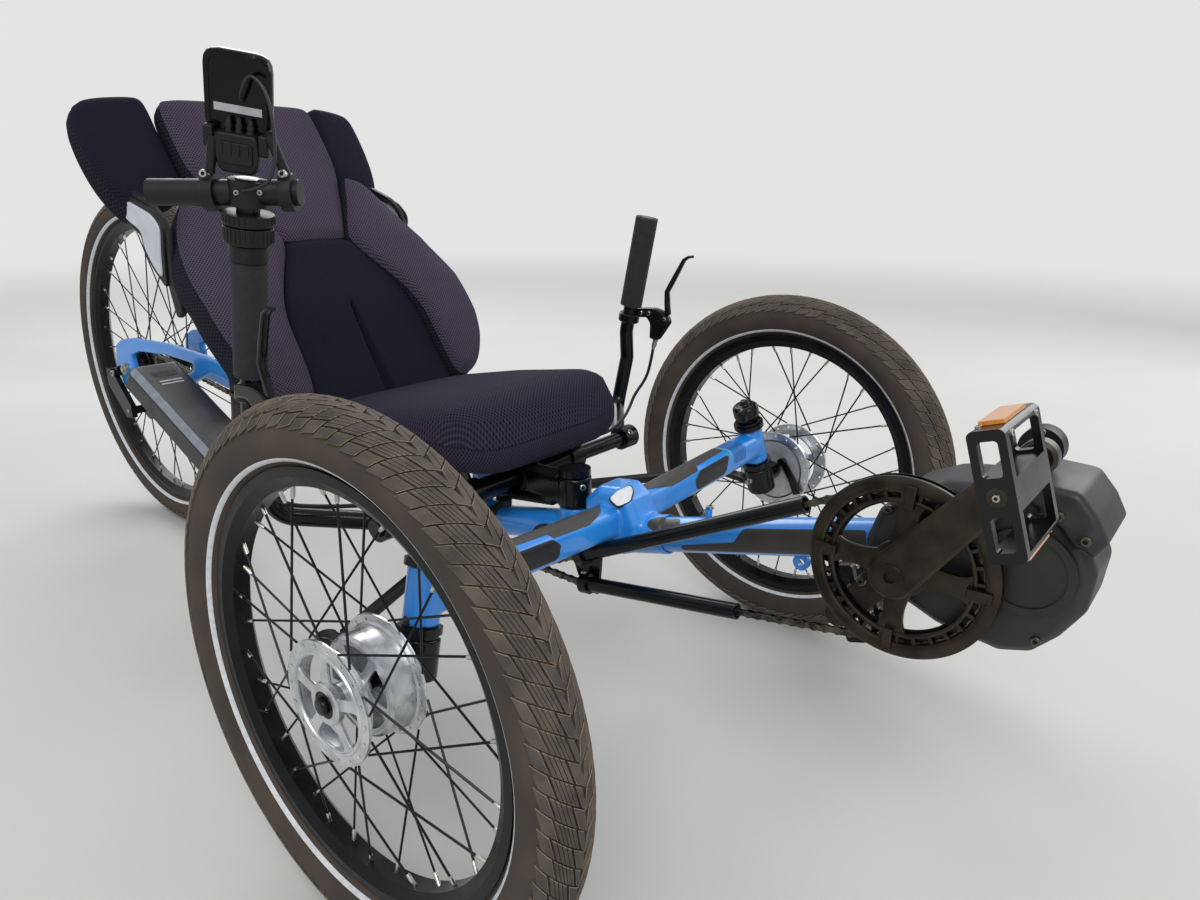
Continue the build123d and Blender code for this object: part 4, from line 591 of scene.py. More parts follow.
# Zinc plate: yellowish grey metal, a little rough from the bath.
axle_steel = grained("zinc_plated_steel", "#A39C8C", "#C9C3B4", 3, (0.3, 0.5), 0.08, 0.8, Metallic=1.0)
dress(axle_steel, "rear_axle")
STAR_TURN = 18.0
HUB_PLATES = (
    # outer flange, drum face, inner flange:
    # outlines, metres outwards from the wheel's middle, thickness, bevel
    ([circle(FLANGE_R, 96)] + star(STAR_TURN, 20.0, 45.0, 11.0) + spoke_holes(0), 0.030, 3.4, 0.5),
    ([circle(45.0, 96)] + star(STAR_TURN + 36, 17.0, 40.0, 9.0), -0.003, 3.0, 0.6),
    ([circle(FLANGE_R, 96), circle(47.0, 64)] + spoke_holes(10), -0.030, 3.4, 0.5),
)
HUB_TURNINGS = (
    # rim of the star, drum's front edge, bearing boss, seal, axle end, hub body, drum, drum's inside:
    # profile outwards from the wheel's middle, steps round, finish
    (((31.7, 45.6), (33.0, 46.2), (33.0, 48.6), (31.7, 49.4)), 96, 0),
    (((30, 45.2), (18, 44.6), (18, 46.6), (28, 47.0)), 96, 0),
    (((28, 20.5), (33, 20.0), (34.5, 18.5), (34.5, 13.0), (32.5, 12.6)), 48, 0),
    (((32.5, 12.6), (33.4, 12.0), (33.4, 6.8), (32.0, 6.4)), 40, 1),
    (((31.0, 6.4), (35.2, 6.2), (36.0, 5.4), (36.0, 2.4), (35.0, 1.6), (35.0, 0)), 24, 2),
    (((28, 20), (20, 13), (0, 12.5), (-6, 14)), 40, 0),
    (((-1.5, 43.5), (-0.5, 45.5), (-3, 48.5), (-8, 49.4), (-27, 50.0), (-28.3, 52)), 96, 0),
    (((-3, 44.0), (-24, 45.5), (-24.5, 12)), 72, 0),
)
for name, side in (("left", 1), ("right", -1)):
    centre = WHEELS[name][0]
    out = Vector((0, side, 0))
    build = bmesh.new()
    for outlines, along, thick, bevel in HUB_PLATES:
        plate(build, outlines, facing(centre + out * along), thick, bevel)
    for profile, steps, finish in HUB_TURNINGS:
        turned(build, centre, out, profile, steps, finish)
    show(f"drum_hub_{name}", build, [drum_alloy, rubber_and_painted_shade, axle_steel], f"wheel_{name}", 34)
    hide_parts(f"hub_{name}")
# Blasted die casting of the brake plates: flat light grey with a soft sheen.
plate_alloy = grained("cast_grey_alloy", "#A0A2A4", "#B4B6B8", 12, (0.38, 0.52), 0.03, 0.7, Metallic=0.5)
dress(plate_alloy, "brake_plate_left", "brake_plate_right")

# Frame graphics: matt charcoal vinyl panels cut to show the coat between them,
# a lime pinstripe, fine hatching by the head tubes and one blank nose badge.
def inside(point, corners):
    """Whether a point lies inside a closed outline."""
    odd = False
    for here, after in zip(corners, corners[1:] + corners[:1]):
        if (here.y > point.y) != (after.y > point.y):
            if point.x < here.x + (point.y - here.y) / (after.y - here.y) * (after.x - here.x):
                odd = not odd
    return odd


skins = {}


def nearest(node, spot):
    """Nearest point and normal on a CAD node, whether or not a piece has replaced it."""
    if node not in skins:
        shape = bmesh.new()
        shape.from_mesh(nodes[node].data)
        skins[node] = BVHTree.FromBMesh(shape)
        shape.free()
    return skins[node].find_nearest(spot)[:2]


def film(build, outline, place, hosts, raised=0.3, cell=3.0, finish=0):
    """Lays a cut sheet on CAD nodes: outline in its own millimetres, place gives a point near the surface."""
    corners = [Vector(c) for c in outline]
    border = []
    for here, after in zip(corners, corners[1:] + corners[:1]):
        steps = max(1, round((after - here).length / cell))
        border += [here.lerp(after, i / steps) for i in range(steps)]
    low = Vector((min(c.x for c in corners), min(c.y for c in corners)))
    high = Vector((max(c.x for c in corners), max(c.y for c in corners)))
    field = []
    for i in range(int((high.x - low.x) / cell) + 1):
        for j in range(int((high.y - low.y) / cell) + 1):
            spot = low + Vector(((i + 0.5) * cell, (j + 0.5) * cell))
            if inside(spot, corners) and min((spot - b).length for b in border) > cell * 0.45:
                field.append(spot)
    edges = [(i, (i + 1) % len(border)) for i in range(len(border))]
    spots, _, faces = delaunay_2d_cdt(border + field, edges, [], 1, 1e-5)[:3]
    made = []
    for spot in spots:
        guess = place(spot.x, spot.y)
        hits = [nearest(host, guess) for host in hosts]
        point, normal = min(hits, key=lambda hit: (hit[0] - guess).length)
        made.append(build.verts.new(point + normal * (raised / 1000)))
    for face in faces:
        build.faces.new([made[i] for i in face]).material_index = finish


# The arms' and the boom's sizes, in millimetres; a film's guess lies just outside the tube.
ARM_LONG = 319.5
ARM_HALF_WIDE, ARM_HALF_HIGH = 18, 19
BOOM_R, BOOM_SLOPE = 21, 0.254


def on_arm(side):
    """Wraps (out along the cross arm, round from its top rear edge) onto the arm's box section."""
    def place(along, round_mm):
        share = along / ARM_LONG
        ahead, up = -13 + 4.2 * share, 304 + 17 * share
        down = round_mm - 2 * ARM_HALF_WIDE
        if down < 0:
            return at(ahead + ARM_HALF_WIDE + down, side * along, up + ARM_HALF_HIGH)
        return at(ahead + ARM_HALF_WIDE, side * along, up + ARM_HALF_HIGH - down)
    return place


def on_boom(side):
    """Wraps (ahead, round from the top) onto the boom."""
    def place(ahead, round_mm):
        turn = round_mm / BOOM_R
        return at(ahead - 5.5 * math.cos(turn), side * (BOOM_R + 2) * math.sin(turn),
                  290 + (ahead - 27) * BOOM_SLOPE + (BOOM_R + 1) * math.cos(turn))
    return place


ARM_PANEL = ((30, 2), (225, 2), (225, 24), (150, 27), (146, 38), (84, 40), (50, 24), (30, 6))
ARM_PLAQUE = ((137, 50), (150, 39), (216, 37), (222, 40), (216, 62), (208, 65), (146, 66), (140, 62))
PINSTRIPE = ((226.5, 3), (228, 3), (228.5, 12), (230, 34), (227.5, 46), (226, 45), (228.2, 34),
             (227, 12))
BOOM_PANEL = ((86, 40), (158, 34), (170, 18.3), (306, 18), (306, 48.4), (86, 48.4))
SLEEVE_PANEL = ((42, 18), (42, 11), (54, 5), (82, 5), (86, 15), (52, 23))
HATCHES, HATCH_STEP = 9, 3.6
# Cut vinyl: flat even colours; the charcoal has a faint leathery grain and less shine.
charcoal = grained("charcoal_vinyl", "#322F2D", "#3A3734", 20, (0.42, 0.55), 0.03, 3.0)
ink = grained("black_vinyl", "#16171A", "#1D1E21", 20, (0.3, 0.4))
lime = grained("lime_vinyl", "#97C634", "#A3D142", 10, (0.35, 0.45))
navy_vinyl = grained("navy_vinyl", "#1A4B86", "#1E5494", 10, (0.35, 0.45))
build = bmesh.new()
for side in (1, -1):
    film(build, eased(ARM_PANEL, 2.5), on_arm(side), ("cross_frame",))
    film(build, eased(ARM_PLAQUE, 2.5), on_arm(side), ("cross_frame",), finish=1)
    film(build, PINSTRIPE, on_arm(side), ("cross_frame",), 0.35, 2.0, 2)
    for i in range(HATCHES):
        start = 233 + i * HATCH_STEP
        hatch = ((start, 6), (start + 1.3, 6), (start + 6.3, 58), (start + 5, 58))
        film(build, hatch, on_arm(side), ("cross_frame",), 0.3, 2.0, 3)
    film(build, eased(BOOM_PANEL, 4), on_boom(side), ("boom",))
    film(build, eased(SLEEVE_PANEL, 3), on_boom(side), ("boom", "cross_frame"))
show("frame_graphics", build, [charcoal, ink, lime, navy_vinyl], "frame", 60)
# Etched badge, left blank: pale satin metal on a black vinyl backing.
badge_alloy = grained("etched_badge_alloy", "#B2B5B9", "#C4C7CB", 6, (0.28, 0.42), Metallic=0.4)
BADGE = ((-11, -27, 331), (-4, -23, 344), (3, -4, 345), (9, -6, 341), (15, -20, 335), (2, -27, 324))
spots = [Vector(corner) for corner in BADGE]
middle = sum(spots, Vector()) / len(spots)
across = (spots[2] + spots[3] - spots[0] - spots[5]).normalized()
upward = across.cross(spots[1] - spots[4]).cross(across).normalized()
badge = [((spot - middle).dot(across), (spot - middle).dot(upward)) for spot in spots]
normal = across.cross(upward)
badge_place = Matrix((across, upward, normal)).transposed().to_4x4()
badge_place = Matrix.Translation(at(*(middle + normal * 3.6))) @ badge_place
build = bmesh.new()
plate(build, [eased([(a * 1.1, b * 1.1) for a, b in badge], 4)], badge_place, 6.0, 1.0, 1)
plate(build, [eased(badge, 4)], badge_place @ Matrix.Translation((0, 0, 0.003)), 1.0, 0.3)
show("nose_badge", build, [badge_alloy, ink], "frame", 60)
HEAD_SHIELD = smooth_outline(((-6, 14), (6, 14), (8, 6), (5, -16), (-5, -16), (-8, 6)), 3.0, 2)
build = bmesh.new()
for side in (1, -1):
    film(build, HEAD_SHIELD, lambda a, b: at(a - 8, side * 350, b + 298), ("cross_frame",), 0.4, 2.5)
show("head_shields", build, ink, "frame", 60)

# Small satin black parts: lamp mount, idler wheel, switch rings and seat pan are
# moulded nylon; accessory bar, tie rods and rear hub are coated to the same satin.
# Glass-filled nylon: near black, a fine even grain and a weak, wide highlight.
black_plastic = grained("moulded_nylon", "#0B0C0D", "#131416", 30, (0.4, 0.55), 0.04, 0.8,
                        Specular_IOR_Level=0.35)
dress(black_plastic, "lamp_mount", "accessory_bar", "idler", "ring_pods", "seat_pan", "tie_rod_left",
      "tie_rod_right", "hub_rear")

# Motor: a black nylon cover in two halves round a cast case, with a fine matt
# grain; a bolted plate and a round lid face the rider's right.
# Spark-eroded mould skin: matt charcoal black; the lid is browner with road dust.
motor_nylon = grained("motor_cover_nylon", "#1A1A1C", "#262628", 40, (0.42, 0.56), 0.05, 0.6)
softened("motor_cover", motor_nylon, "frame", "black_plastic", 2.2, 9, "motor")
lid_nylon = grained("motor_lid_nylon", "#171616", "#26231F", 16, (0.45, 0.65), 0.06, 1.0)
dress(lid_nylon, "motor_disc")
# Stainless steel: a small bright glint on every bolt head; the motor's are bronzed brown.
bolt_steel = grained("stainless_bolt", "#A5A29B", "#C8C6C0", 4, (0.22, 0.36), Metallic=1.0)
bronzed_bolt = grained("bronzed_bolt", "#4D473E", "#6A6256", 4, (0.26, 0.4), Metallic=0.9)


def socket_bolt(build, place, way, radius, rise, finish=0):
    """Round-headed bolt with a hex socket in the next finish, painted shade inside the hollow; way points out
    of the surface.
    """
    head = ((-1, radius), (rise * 0.7, radius), (rise, radius * 0.82), (rise, radius * 0.45))
    socket = ((rise, radius * 0.45), (rise * 0.35, radius * 0.42), (rise * 0.35, 0))
    turned(build, place, way, head, 20, finish)
    turned(build, place, way, socket, 6, finish + 1)


MOTOR_BOLTS = ((473, -49, 443), (495, -49, 427), (311, -38, 330), (470, -38, 322), (425, -38, 441),
               (330, -38, 410))
build = bmesh.new()
for spot in MOTOR_BOLTS:
    socket_bolt(build, at(*spot), (0, -1, 0), 4.4, 3.2)
show("motor_bolts", build, [bronzed_bolt, rubber_and_painted_shade], "frame")
# Chrome plate: the one mirror-bright spot, on top of the lamp mount.
chrome_ball = grained("chromed_boss", "#D2D4D6", "#E2E4E6", 12, (0.07, 0.14), Metallic=1.0)
build = bmesh.new()
turned(build, at(443, 0, 485), (0, -1, 0), ((-4, 9), (4, 8.6), (7, 7.2), (9, 5.0), (10, 2.5), (10.3, 0)), 32)
show("lamp_mount_boss", build, chrome_ball, "frame")

# Chainring and cranks: forged aluminium in a bronze-black coat. The guard is a
# bevelled ring with an inner slotted ring and four raised tabs.
# Bronze-black anodising: dark brown metal with a broad soft shine.
crank_coat = grained("bronze_black_anodising", "#322D28", "#453E35", 26, (0.28, 0.4), 0.03, 0.5,
                     Metallic=0.85)
dress(crank_coat, "crank_arms")
# Blackened steel: dark, with brown-grey patches where the chain has rubbed it.
tooth_steel = grained("black_tooth_steel", "#161514", "#3A3630", 7, (0.3, 0.5), Metallic=0.9)
CRANK = at(352, 0, 362)
OUT = Vector((0, -1, 0))
RING_TURN = -2.5
TEETH = 38
OUTER_RING = ((55.0, 74.5), (57.4, 75.6), (58.6, 78.0), (58.2, 86.0), (56.4, 89.0), (53.2, 89.0),
              (52.6, 87.0), (53.0, 76.0))
INNER_RING = ((54.0, 64.5), (56.6, 64.8), (57.2, 66.4), (56.6, 68.6), (53.4, 68.8), (53.0, 65.0))
GUARD_BAR = ((68, -1.7), (75.5, -2.1), (75.5, 2.1), (68, 1.7))
GUARD_TAB = ((61, -4.4), (82, -5.4), (83.5, -3.5), (83.5, 3.5), (82, 5.4), (61, 4.4))
GUARD_ARM = smooth_outline(((15, -17), (30, -11.5), (45, -9.5), (58, -11), (66.5, -17), (66.5, 17), (58, 11),
                            (45, 9.5), (30, 11.5), (15, 17)), 2.0, 2)
CRANK_BOLT = ((73.0, 12.4), (80.6, 12.4), (81.4, 11.6), (81.4, 9.0), (80.4, 8.4))
TOOTH = ((-0.34, 73.4), (-0.2, 77.4), (-0.07, 79.4), (0.07, 79.4), (0.2, 77.4), (0.34, 73.4))
GUARD_PLATES = (
    # outline, how many round the ring, turn of the first, metres along the axle, thickness, bevel
    (GUARD_BAR, 28, RING_TURN + 180 / 28, 0.0548, 3.0, 0.4),
    (GUARD_TAB, 4, RING_TURN, 0.0585, 7.0, 1.3),
    (GUARD_ARM, 4, RING_TURN, 0.0535, 4.6, 1.1),
)
build = bmesh.new()
turned(build, CRANK, OUT, OUTER_RING, 128, closed=True)
turned(build, CRANK, OUT, INNER_RING, 128, closed=True)
for outline, count, first_turn, along, thick, bevel in GUARD_PLATES:
    for i in range(count):
        turn = math.radians(first_turn + i * 360 / count)
        plate(build, [outline], facing(CRANK + OUT * along, turn), thick, bevel)
plate(build, [circle(27.5, 48), circle(11.4, 32)], facing(CRANK + OUT * 0.0535), 5.0, 1.0)
show("chainring_guard", build, crank_coat, "crank", 32)
build = bmesh.new()
teeth = []
for i in range(TEETH):
    for step, radius in TOOTH:
        angle = 2 * math.pi * (i + step) / TEETH
        teeth.append((radius * math.cos(angle), radius * math.sin(angle)))
plate(build, [teeth, circle(62.5, 64)], facing(CRANK + OUT * 0.050), 2.2, 0.3)
plate(build, [circle(89.0, 96), circle(83.0, 96)], facing(CRANK + OUT * 0.0462), 1.2, 0.3)
show("chainring_teeth", build, tooth_steel, "crank", 32)
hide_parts("chainring")
build = bmesh.new()
for side in (1, -1):
    turned(build, CRANK, (0, side, 0), CRANK_BOLT, 40)
show("crank_bolt_rings", build, crank_coat, "crank", 32)

# Chain: half-inch links of dull oiled steel with pins, as one loop round ring,
# cage and cog; the runs inside the tubes stay hidden.
LINK_PITCH = 12.7
CHAIN_LINE = -50
PLATE_OUT = (2.0, 2.9)
PLATE_THICK = 0.9
PIN_R, PIN_HALF = 1.9, 3.6
CHAIN_STOPS = (
    # ahead, up, pitch radius, sense of turn
    (352.0, 362.0, 76.8, -1), (-45.0, 283.0, 60.0, -1), (-1104.0, 264.0, 22.5, -1), (-1176.0, 256.0, 22.5, 1),
    (-1188.0, 337.6, 46.6, -1), (-94.0, 260.0, 24.0, 1),
)


def tangent_run(first, second):
    """Ends and heading of the straight run from one wheel of the chain to the next."""
    reach_x, reach_z = second[0] - first[0], second[1] - first[1]
    heading = math.atan2(reach_z, reach_x)
    heading += math.asin((first[3] * first[2] - second[3] * second[2]) / math.hypot(reach_x, reach_z))
    right = (math.sin(heading), -math.cos(heading))
    ends = [(w[0] + w[3] * w[2] * right[0], w[1] + w[3] * w[2] * right[1]) for w in (first, second)]
    return ends[0], ends[1], heading


def chain_path():
    """Points of the chain's closed line, in millimetres ahead and up."""
    runs = [tangent_run(w, CHAIN_STOPS[(i + 1) % len(CHAIN_STOPS)]) for i, w in enumerate(CHAIN_STOPS)]
    points = []
    for index, (ahead, up, radius, sense) in enumerate(CHAIN_STOPS):
        arrive, leave = runs[index - 1], runs[index]
        turn = ((leave[2] - arrive[2]) * sense) % (2 * math.pi)
        for i in range(25):
            angle = arrive[2] + sense * turn * i / 24
            x, y = ahead + sense * radius * math.sin(angle), up - sense * radius * math.cos(angle)
            points.append(Vector((x, y)))
    return points


def rod(build, start, end, radius, steps):
    """Adds a round bar with flat ends between two points, radius in millimetres."""
    reach = (end - start).length * 1000
    turned(build, start, end - start, ((0, 0), (0, radius), (reach, radius), (reach, 0)), steps)


# Oiled steel: dark brown-grey metal that is bright where it rubs.
steel_link = grained("oiled_steel", "#3F3B35", "#7C766B", 9, (0.28, 0.5), Metallic=1.0)
dress(steel_link, "cassette")
pins = even_steps(chain_path(), lambda length: 2 * round(length / (2 * LINK_PITCH)))
build = bmesh.new()
for i, here in enumerate(pins):
    after = pins[(i + 1) % len(pins)]
    middle = (here + after) / 2
    turn = math.atan2((after - here).y, (after - here).x)
    half = (after - here).length / 2
    upper = [(-half - 3.4, 0), (-half - 2.4, 3.0), (-half, 4.0), (-2, 2.9), (2, 2.9), (half, 4.0),
             (half + 2.4, 3.0)]
    link = upper + [(-x, -y) for x, y in upper]
    for side in (1, -1):
        place = at(middle.x, CHAIN_LINE + side * PLATE_OUT[i % 2], middle.y)
        plate(build, [link], facing(place, turn), PLATE_THICK, 0.0)
    ends = [at(here.x, CHAIN_LINE + side * PIN_HALF, here.y) for side in (1, -1)]
    rod(build, ends[0], ends[1], PIN_R, 8)
chain_links = show("chain_links", build, steel_link, "frame", 40)
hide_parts("chain")

# Grips and spring: sleeves of closed-cell foam pushed onto the risers, and the
# block of the same rubber that springs the swingarm.
# Foam skin: soft black with no highlight; its pits are drawn as large as they need to show.
grip_foam = grained("foam_rubber", "#1F1F21", "#2B2B2E", 8, (0.85, 0.95), 0.35, 1.1)
dress(grip_foam, "grips", "rubber_spring")

# Steering: gloss black die castings, rounded at their edges, and enamelled tubes;
# chain tubes, idler bracket, brake cams and derailleur are as glossy a black.
# Gloss enamel: deep black with sharp reflections of the soft boxes.
gloss_black = grained("gloss_black_enamel", "#060708", "#0C0D0F", 40, (0.18, 0.3), 0.04, 3.0,
                      Specular_IOR_Level=0.32)
dress(gloss_black, "headset_cups", "cross_bar", "risers", "brake_cam_left", "brake_cam_right", "chain_tubes",
      "idler_bracket", "derailleur")
for side_name in ("left", "right"):
    softened(f"knuckle_casting_{side_name}", gloss_black, f"knuckle_{side_name}", "black_frame", 1.6, 4,
             f"knuckle_{side_name}")
softened("stem_casting", gloss_black, "handlebar", "black_frame", 1.8, 5, "handlebar_stem")


# Fitted bolts: stainless socket bolts where the real parts clamp or pivot, each
# set square on the surface that lies nearest to its place.
def bolt_on(build, node, spot, radius, rise):
    """Socket bolt on the node's surface nearest to the spot, square to it."""
    point, normal = nearest(node, spot)
    socket_bolt(build, point, normal, radius, rise)


BOLT_RISE = 2.4
FITTED_BOLTS = {
    # by body: node, place, head radius
    "knuckle_left": (("knuckle_left", (-7.4, 315, 264), 4.6), ("knuckle_left", (-28, 306, 250), 4.0)),
    "knuckle_right": (("knuckle_right", (-7.4, -315, 264), 4.6), ("knuckle_right", (-28, -306, 250), 4.0)),
    "handlebar": (("handlebar_stem", (-70, -8.5, 330), 4.2), ("handlebar_stem", (-90, -16, 326), 3.6),
                  ("risers", (-167, 223, 332), 4.6), ("risers", (-167, -223, 332), 4.6),
                  ("risers", (-182, 246, 332), 3.6), ("risers", (-182, -246, 332), 3.6)),
    "frame": (("idler_bracket", (-62, -45, 268), 4.4), ("idler_bracket", (-36, -45, 240), 4.0),
              ("boom", (113.5, 0, 349), 4.2), ("derailleur", (-1218, -100, 330.6), 6.0),
              ("derailleur", (-1176, -100, 256), 4.0), ("derailleur", (-1104, -80, 264), 4.0),
              ("lamp_mount", (443, -12, 500), 3.0)),
    "pedal_right": (("crank_arms", (455.5, -200, 496.9), 3.0),),
}
for body, bolts in FITTED_BOLTS.items():
    build = bmesh.new()
    for node, spot, radius in bolts:
        bolt_on(build, node, at(*spot), radius, BOLT_RISE)
    show(f"bolts_{body}", build, [bolt_steel, rubber_and_painted_shade], body)

# Pedals: glossy black cages with an amber reflector front and back, each
# reflector's holder fixed with small screws at its corners.
# Acrylic prism: deep orange under a wet gloss, with facets that break the light up.
amber = grained("amber_acrylic", "#CF7C18", "#E39434", 4, (0.12, 0.2), 0.2, 2.0, Coat_Weight=0.5)
dress(amber, "pedal_reflectors_left", "pedal_reflectors_right")
dress(gloss_black, "pedal_left", "pedal_right")
SCREW_OUT = 0.005
for side_name in ("left", "right"):
    low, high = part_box(f"pedal_reflectors_{side_name}")
    build = bmesh.new()
    for up in (low.z, high.z):
        for left in (low.y - SCREW_OUT, high.y + SCREW_OUT):
            for ahead in (low.x, high.x):
                bolt_on(build, f"pedal_{side_name}", Vector((ahead, left, up)), 2.6, 1.8)
    show(f"pedal_screws_{side_name}", build, [bolt_steel, rubber_and_painted_shade], f"pedal_{side_name}")

# Brake levers: forged blade with a hooked tip in a boxed bracket below the foam,
# clamped by one band; a bright adjuster lets the cable out.
def cord_line(name, points, diameter_mm):
    """Round cord on a smooth spline with these control points."""
    line = bpy.data.curves.new(name, "CURVE")
    line.dimensions = "3D"
    line.bevel_depth = diameter_mm / 2000
    line.bevel_resolution = 3
    line.resolution_u = 10
    line.use_fill_caps = True
    spline = line.splines.new("NURBS")
    spline.points.add(len(points) - 1)
    for knot, place in zip(spline.points, points):
        knot.co = (*place, 1)
    spline.order_u = 3
    spline.use_endpoint_u = True
    piece = bpy.data.objects.new(name, line)
    bpy.context.scene.collection.objects.link(piece)
    return piece


def ribbon(points, widths):
    """Outline of a strip with its own width at each point of a side line."""
    sides = ([], [])
    for index, point in enumerate(points):
        before, after = Vector(points[max(0, index - 1)]), Vector(points[min(len(points) - 1, index + 1)])
        across = (after - before).normalized().orthogonal() * (widths[index] / 2)
        for line, hand in zip(sides, (1, -1)):
            line.append(Vector(point) + across * hand)
    return sides[0] + sides[1][::-1]


BLADE = ((-190, 494), (-193, 512), (-195, 530), (-186, 547), (-177, 564), (-168, 581), (-160, 586),
         (-152, 587))
BLADE_WIDE = (9, 8, 7.5, 7.5, 6.5, 5.5, 4.5, 4.0)
BRACKET = ((-250, 500), (-232, 502), (-214, 503), (-200, 500), (-188, 492), (-184, 482), (-204, 452),
           (-219, 454), (-220, 478), (-228, 487), (-250, 485))
LEVER_CABLE = ((-217, 348, 436), (-219, 347, 420), (-224, 342, 388), (-236, 324, 360), (-215, 284, 351),
               (-194, 240, 345), (-182, 196, 338), (-182, 150, 338), (-182, 112.3, 338))
LEVER_OUT, LEVER_LEAN = 299.5, 0.1
BAND = ((-7, 11.3), (-7, 15.5), (-5.5, 17), (5.5, 17), (7, 15.5), (7, 11.3))
ADJUSTER = ((0, 4.6), (5, 4.6), (5, 3.4), (8, 3.4), (8, 4.2), (15, 4.0), (15, 3.0), (20, 2.8))
LEVER_BOLTS = (((-238, 341, 494), 4.2), ((-222, 341, 495), 3.6), ((-192, 342, 488), 3.2))
for side, side_name in ((1, "left"), (-1, "right")):
    # the lever's own plane: x ahead, y up and leaning outwards with the grip
    plane = Matrix(((1, 0, 0, 0), (0, side * LEVER_LEAN, -1, 0), (0, 1, 0, 0), (0, 0, 0, 1)))
    plane = Matrix.Translation(at(0, side * LEVER_OUT, 0)) @ plane
    build = bmesh.new()
    plate(build, [ribbon(BLADE, BLADE_WIDE)], plane, 9.0, 2.6)
    plate(build, [eased(BRACKET, 4)], plane, 14.0, 3.0)
    turned(build, at(-255.6, side * 333, 486), (28, side, 139), BAND, 40)
    for (ahead, left, up), radius in LEVER_BOLTS:
        socket_bolt(build, at(ahead, side * left, up), (0, -side, 0), radius, 2.6, 1)
    turned(build, at(-211, side * 347, 455), (-6, side, -19), ADJUSTER, 16, 1)
    lever = show(f"brake_lever_{side_name}", build, [gloss_black, bolt_steel, rubber_and_painted_shade], "handlebar")
    hose = cord_line(f"brake_cable_{side_name}", [at(a, side * b, c) for a, b, c in LEVER_CABLE], 5.0)
    hose.data.materials.append(black_plastic)
    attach(hose, "handlebar")
    if side > 0:
        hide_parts("brake_levers")
        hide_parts("brake_cables")

# Ring pods: two moulded nylon switch rings clamped round the right grip's post,
# with fine finger ribs round them.
POST_RISE = Vector((28, -1, 139))
POST_FOOT = Vector((-252, -333, 506))
RIB_BANDS = ((645, 657, 23.0), (663, 670, 24.0))
RIBS, RIB_R = 30, 1.0
post_way = POST_RISE.normalized()
post_across = post_way.orthogonal().normalized()
post_side = post_way.cross(post_across)
build = bmesh.new()
for low, high, radius in RIB_BANDS:
    for i in range(RIBS):
        turn = 2 * math.pi * i / RIBS
        out = (post_across * math.cos(turn) + post_side * math.sin(turn)) * (radius / 1000)
        shares = [(up - POST_FOOT.z) / POST_RISE.z for up in (low, high)]
        foot, head = [at(*(POST_FOOT + POST_RISE * share)) + out for share in shares]
        rod(build, foot, head, RIB_R, 6)
show("pod_ribs", build, black_plastic, "handlebar")

# Display: a slim gloss shell with a blank pale label on its back, in a ribbed
# nylon holder with three plugs, bolted to the accessory bar by a clip on each side.
BAR_TURN = math.radians(38.7)
BAR_WAY = Vector((math.cos(BAR_TURN), math.sin(BAR_TURN), 0))
BAR_ACROSS = Vector((-math.sin(BAR_TURN), math.cos(BAR_TURN), 0))
BAR_LEVEL = at(-214.94, -334.32, 690)
LEAN_BACK, LEAN_UP = 0.225, 0.974
back_place = Matrix((
    (BAR_WAY.x, -BAR_ACROSS.x * LEAN_BACK, -BAR_ACROSS.x * LEAN_UP, 0),
    (BAR_WAY.y, -BAR_ACROSS.y * LEAN_BACK, -BAR_ACROSS.y * LEAN_UP, 0),
    (0, LEAN_UP, -LEAN_BACK, 0),
    (0, 0, 0, 1),
))
back_place = Matrix.Translation(BAR_LEVEL + BAR_ACROSS * 0.008 + Vector((0, 0, 0.032))) @ back_place
DISPLAY_TURN, TURN_HEIGHT = -10.0, 0.047
SHELL = ((-31, 16), (31, 16), (31, 94), (-31, 94))
LABEL = ((-21, 40), (23, 40), (23, 47), (-21, 47))
HOLDER = ((-17, 24), (-18, 0), (-13, -13), (19, -13), (24, 0), (22, 24))
HOLDER_STEP = ((-12, 16), (-12, -4), (18, -4), (18, 16))
HOLDER_RIBS = (-10, -2, 6, 14)
CLIPS = ((-23.5, 18), (27, 16))
PLUGS = (-6, 3.5, 14)
PLUG = ((0, 3.6), (4, 3.6), (4, 2.8), (6, 2.8), (6, 3.4), (9, 3.4), (9, 2.4), (14, 2.0), (15, 0))


def on_back(z, x=0.0, y=0.0):
    """Frame in the display's back plane, turned as it is clamped; millimetres outwards, right and up."""
    return (back_place @ Matrix.Translation((0, TURN_HEIGHT, 0))
            @ Matrix.Rotation(math.radians(DISPLAY_TURN), 4, "Z")
            @ Matrix.Translation((x / 1000, y / 1000 - TURN_HEIGHT, z / 1000)))


# Polished shell: piano black that mirrors the sky; the label on it is a pale satin film.
screen_gloss = grained("piano_black_shell", "#040506", "#08090B", 30, (0.08, 0.16), Specular_IOR_Level=0.22)
label_film = grained("label_film", "#9D9EA2", "#AAABAF", 8, (0.35, 0.5))
build = bmesh.new()
plate(build, [eased(SHELL, 15)], on_back(-6.5), 13.0, 3.5)
raised_rim = [eased([(x * 0.9, 55 + (y - 55) * 0.92) for x, y in SHELL], 13),
              eased([(x * 0.8, 55 + (y - 55) * 0.84) for x, y in SHELL], 11)]
plate(build, raised_rim, on_back(0.3), 1.2, 0.5)
plate(build, [LABEL], on_back(0.2), 0.6, 0.0, 1)
shell = show("display_shell", build, [screen_gloss, label_film], "handlebar", 40)
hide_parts("display")
build = bmesh.new()
plate(build, [eased(HOLDER, 6)], on_back(7), 13.0, 2.0)
plate(build, [eased(HOLDER_STEP, 4)], on_back(14), 2.4, 0.8)
for x in HOLDER_RIBS:
    plate(build, [((x - 1, 4), (x + 1, 4), (x + 1, 15), (x - 1, 15))], on_back(15.4), 1.6, 0.5)
for x, y in CLIPS:
    clip = ((x - 5, y - 10), (x + 5, y - 10), (x + 4.5, y + 10), (x - 4.5, y + 10))
    plate(build, [eased(clip, 2.5)], on_back(7), 11.0, 2.0)
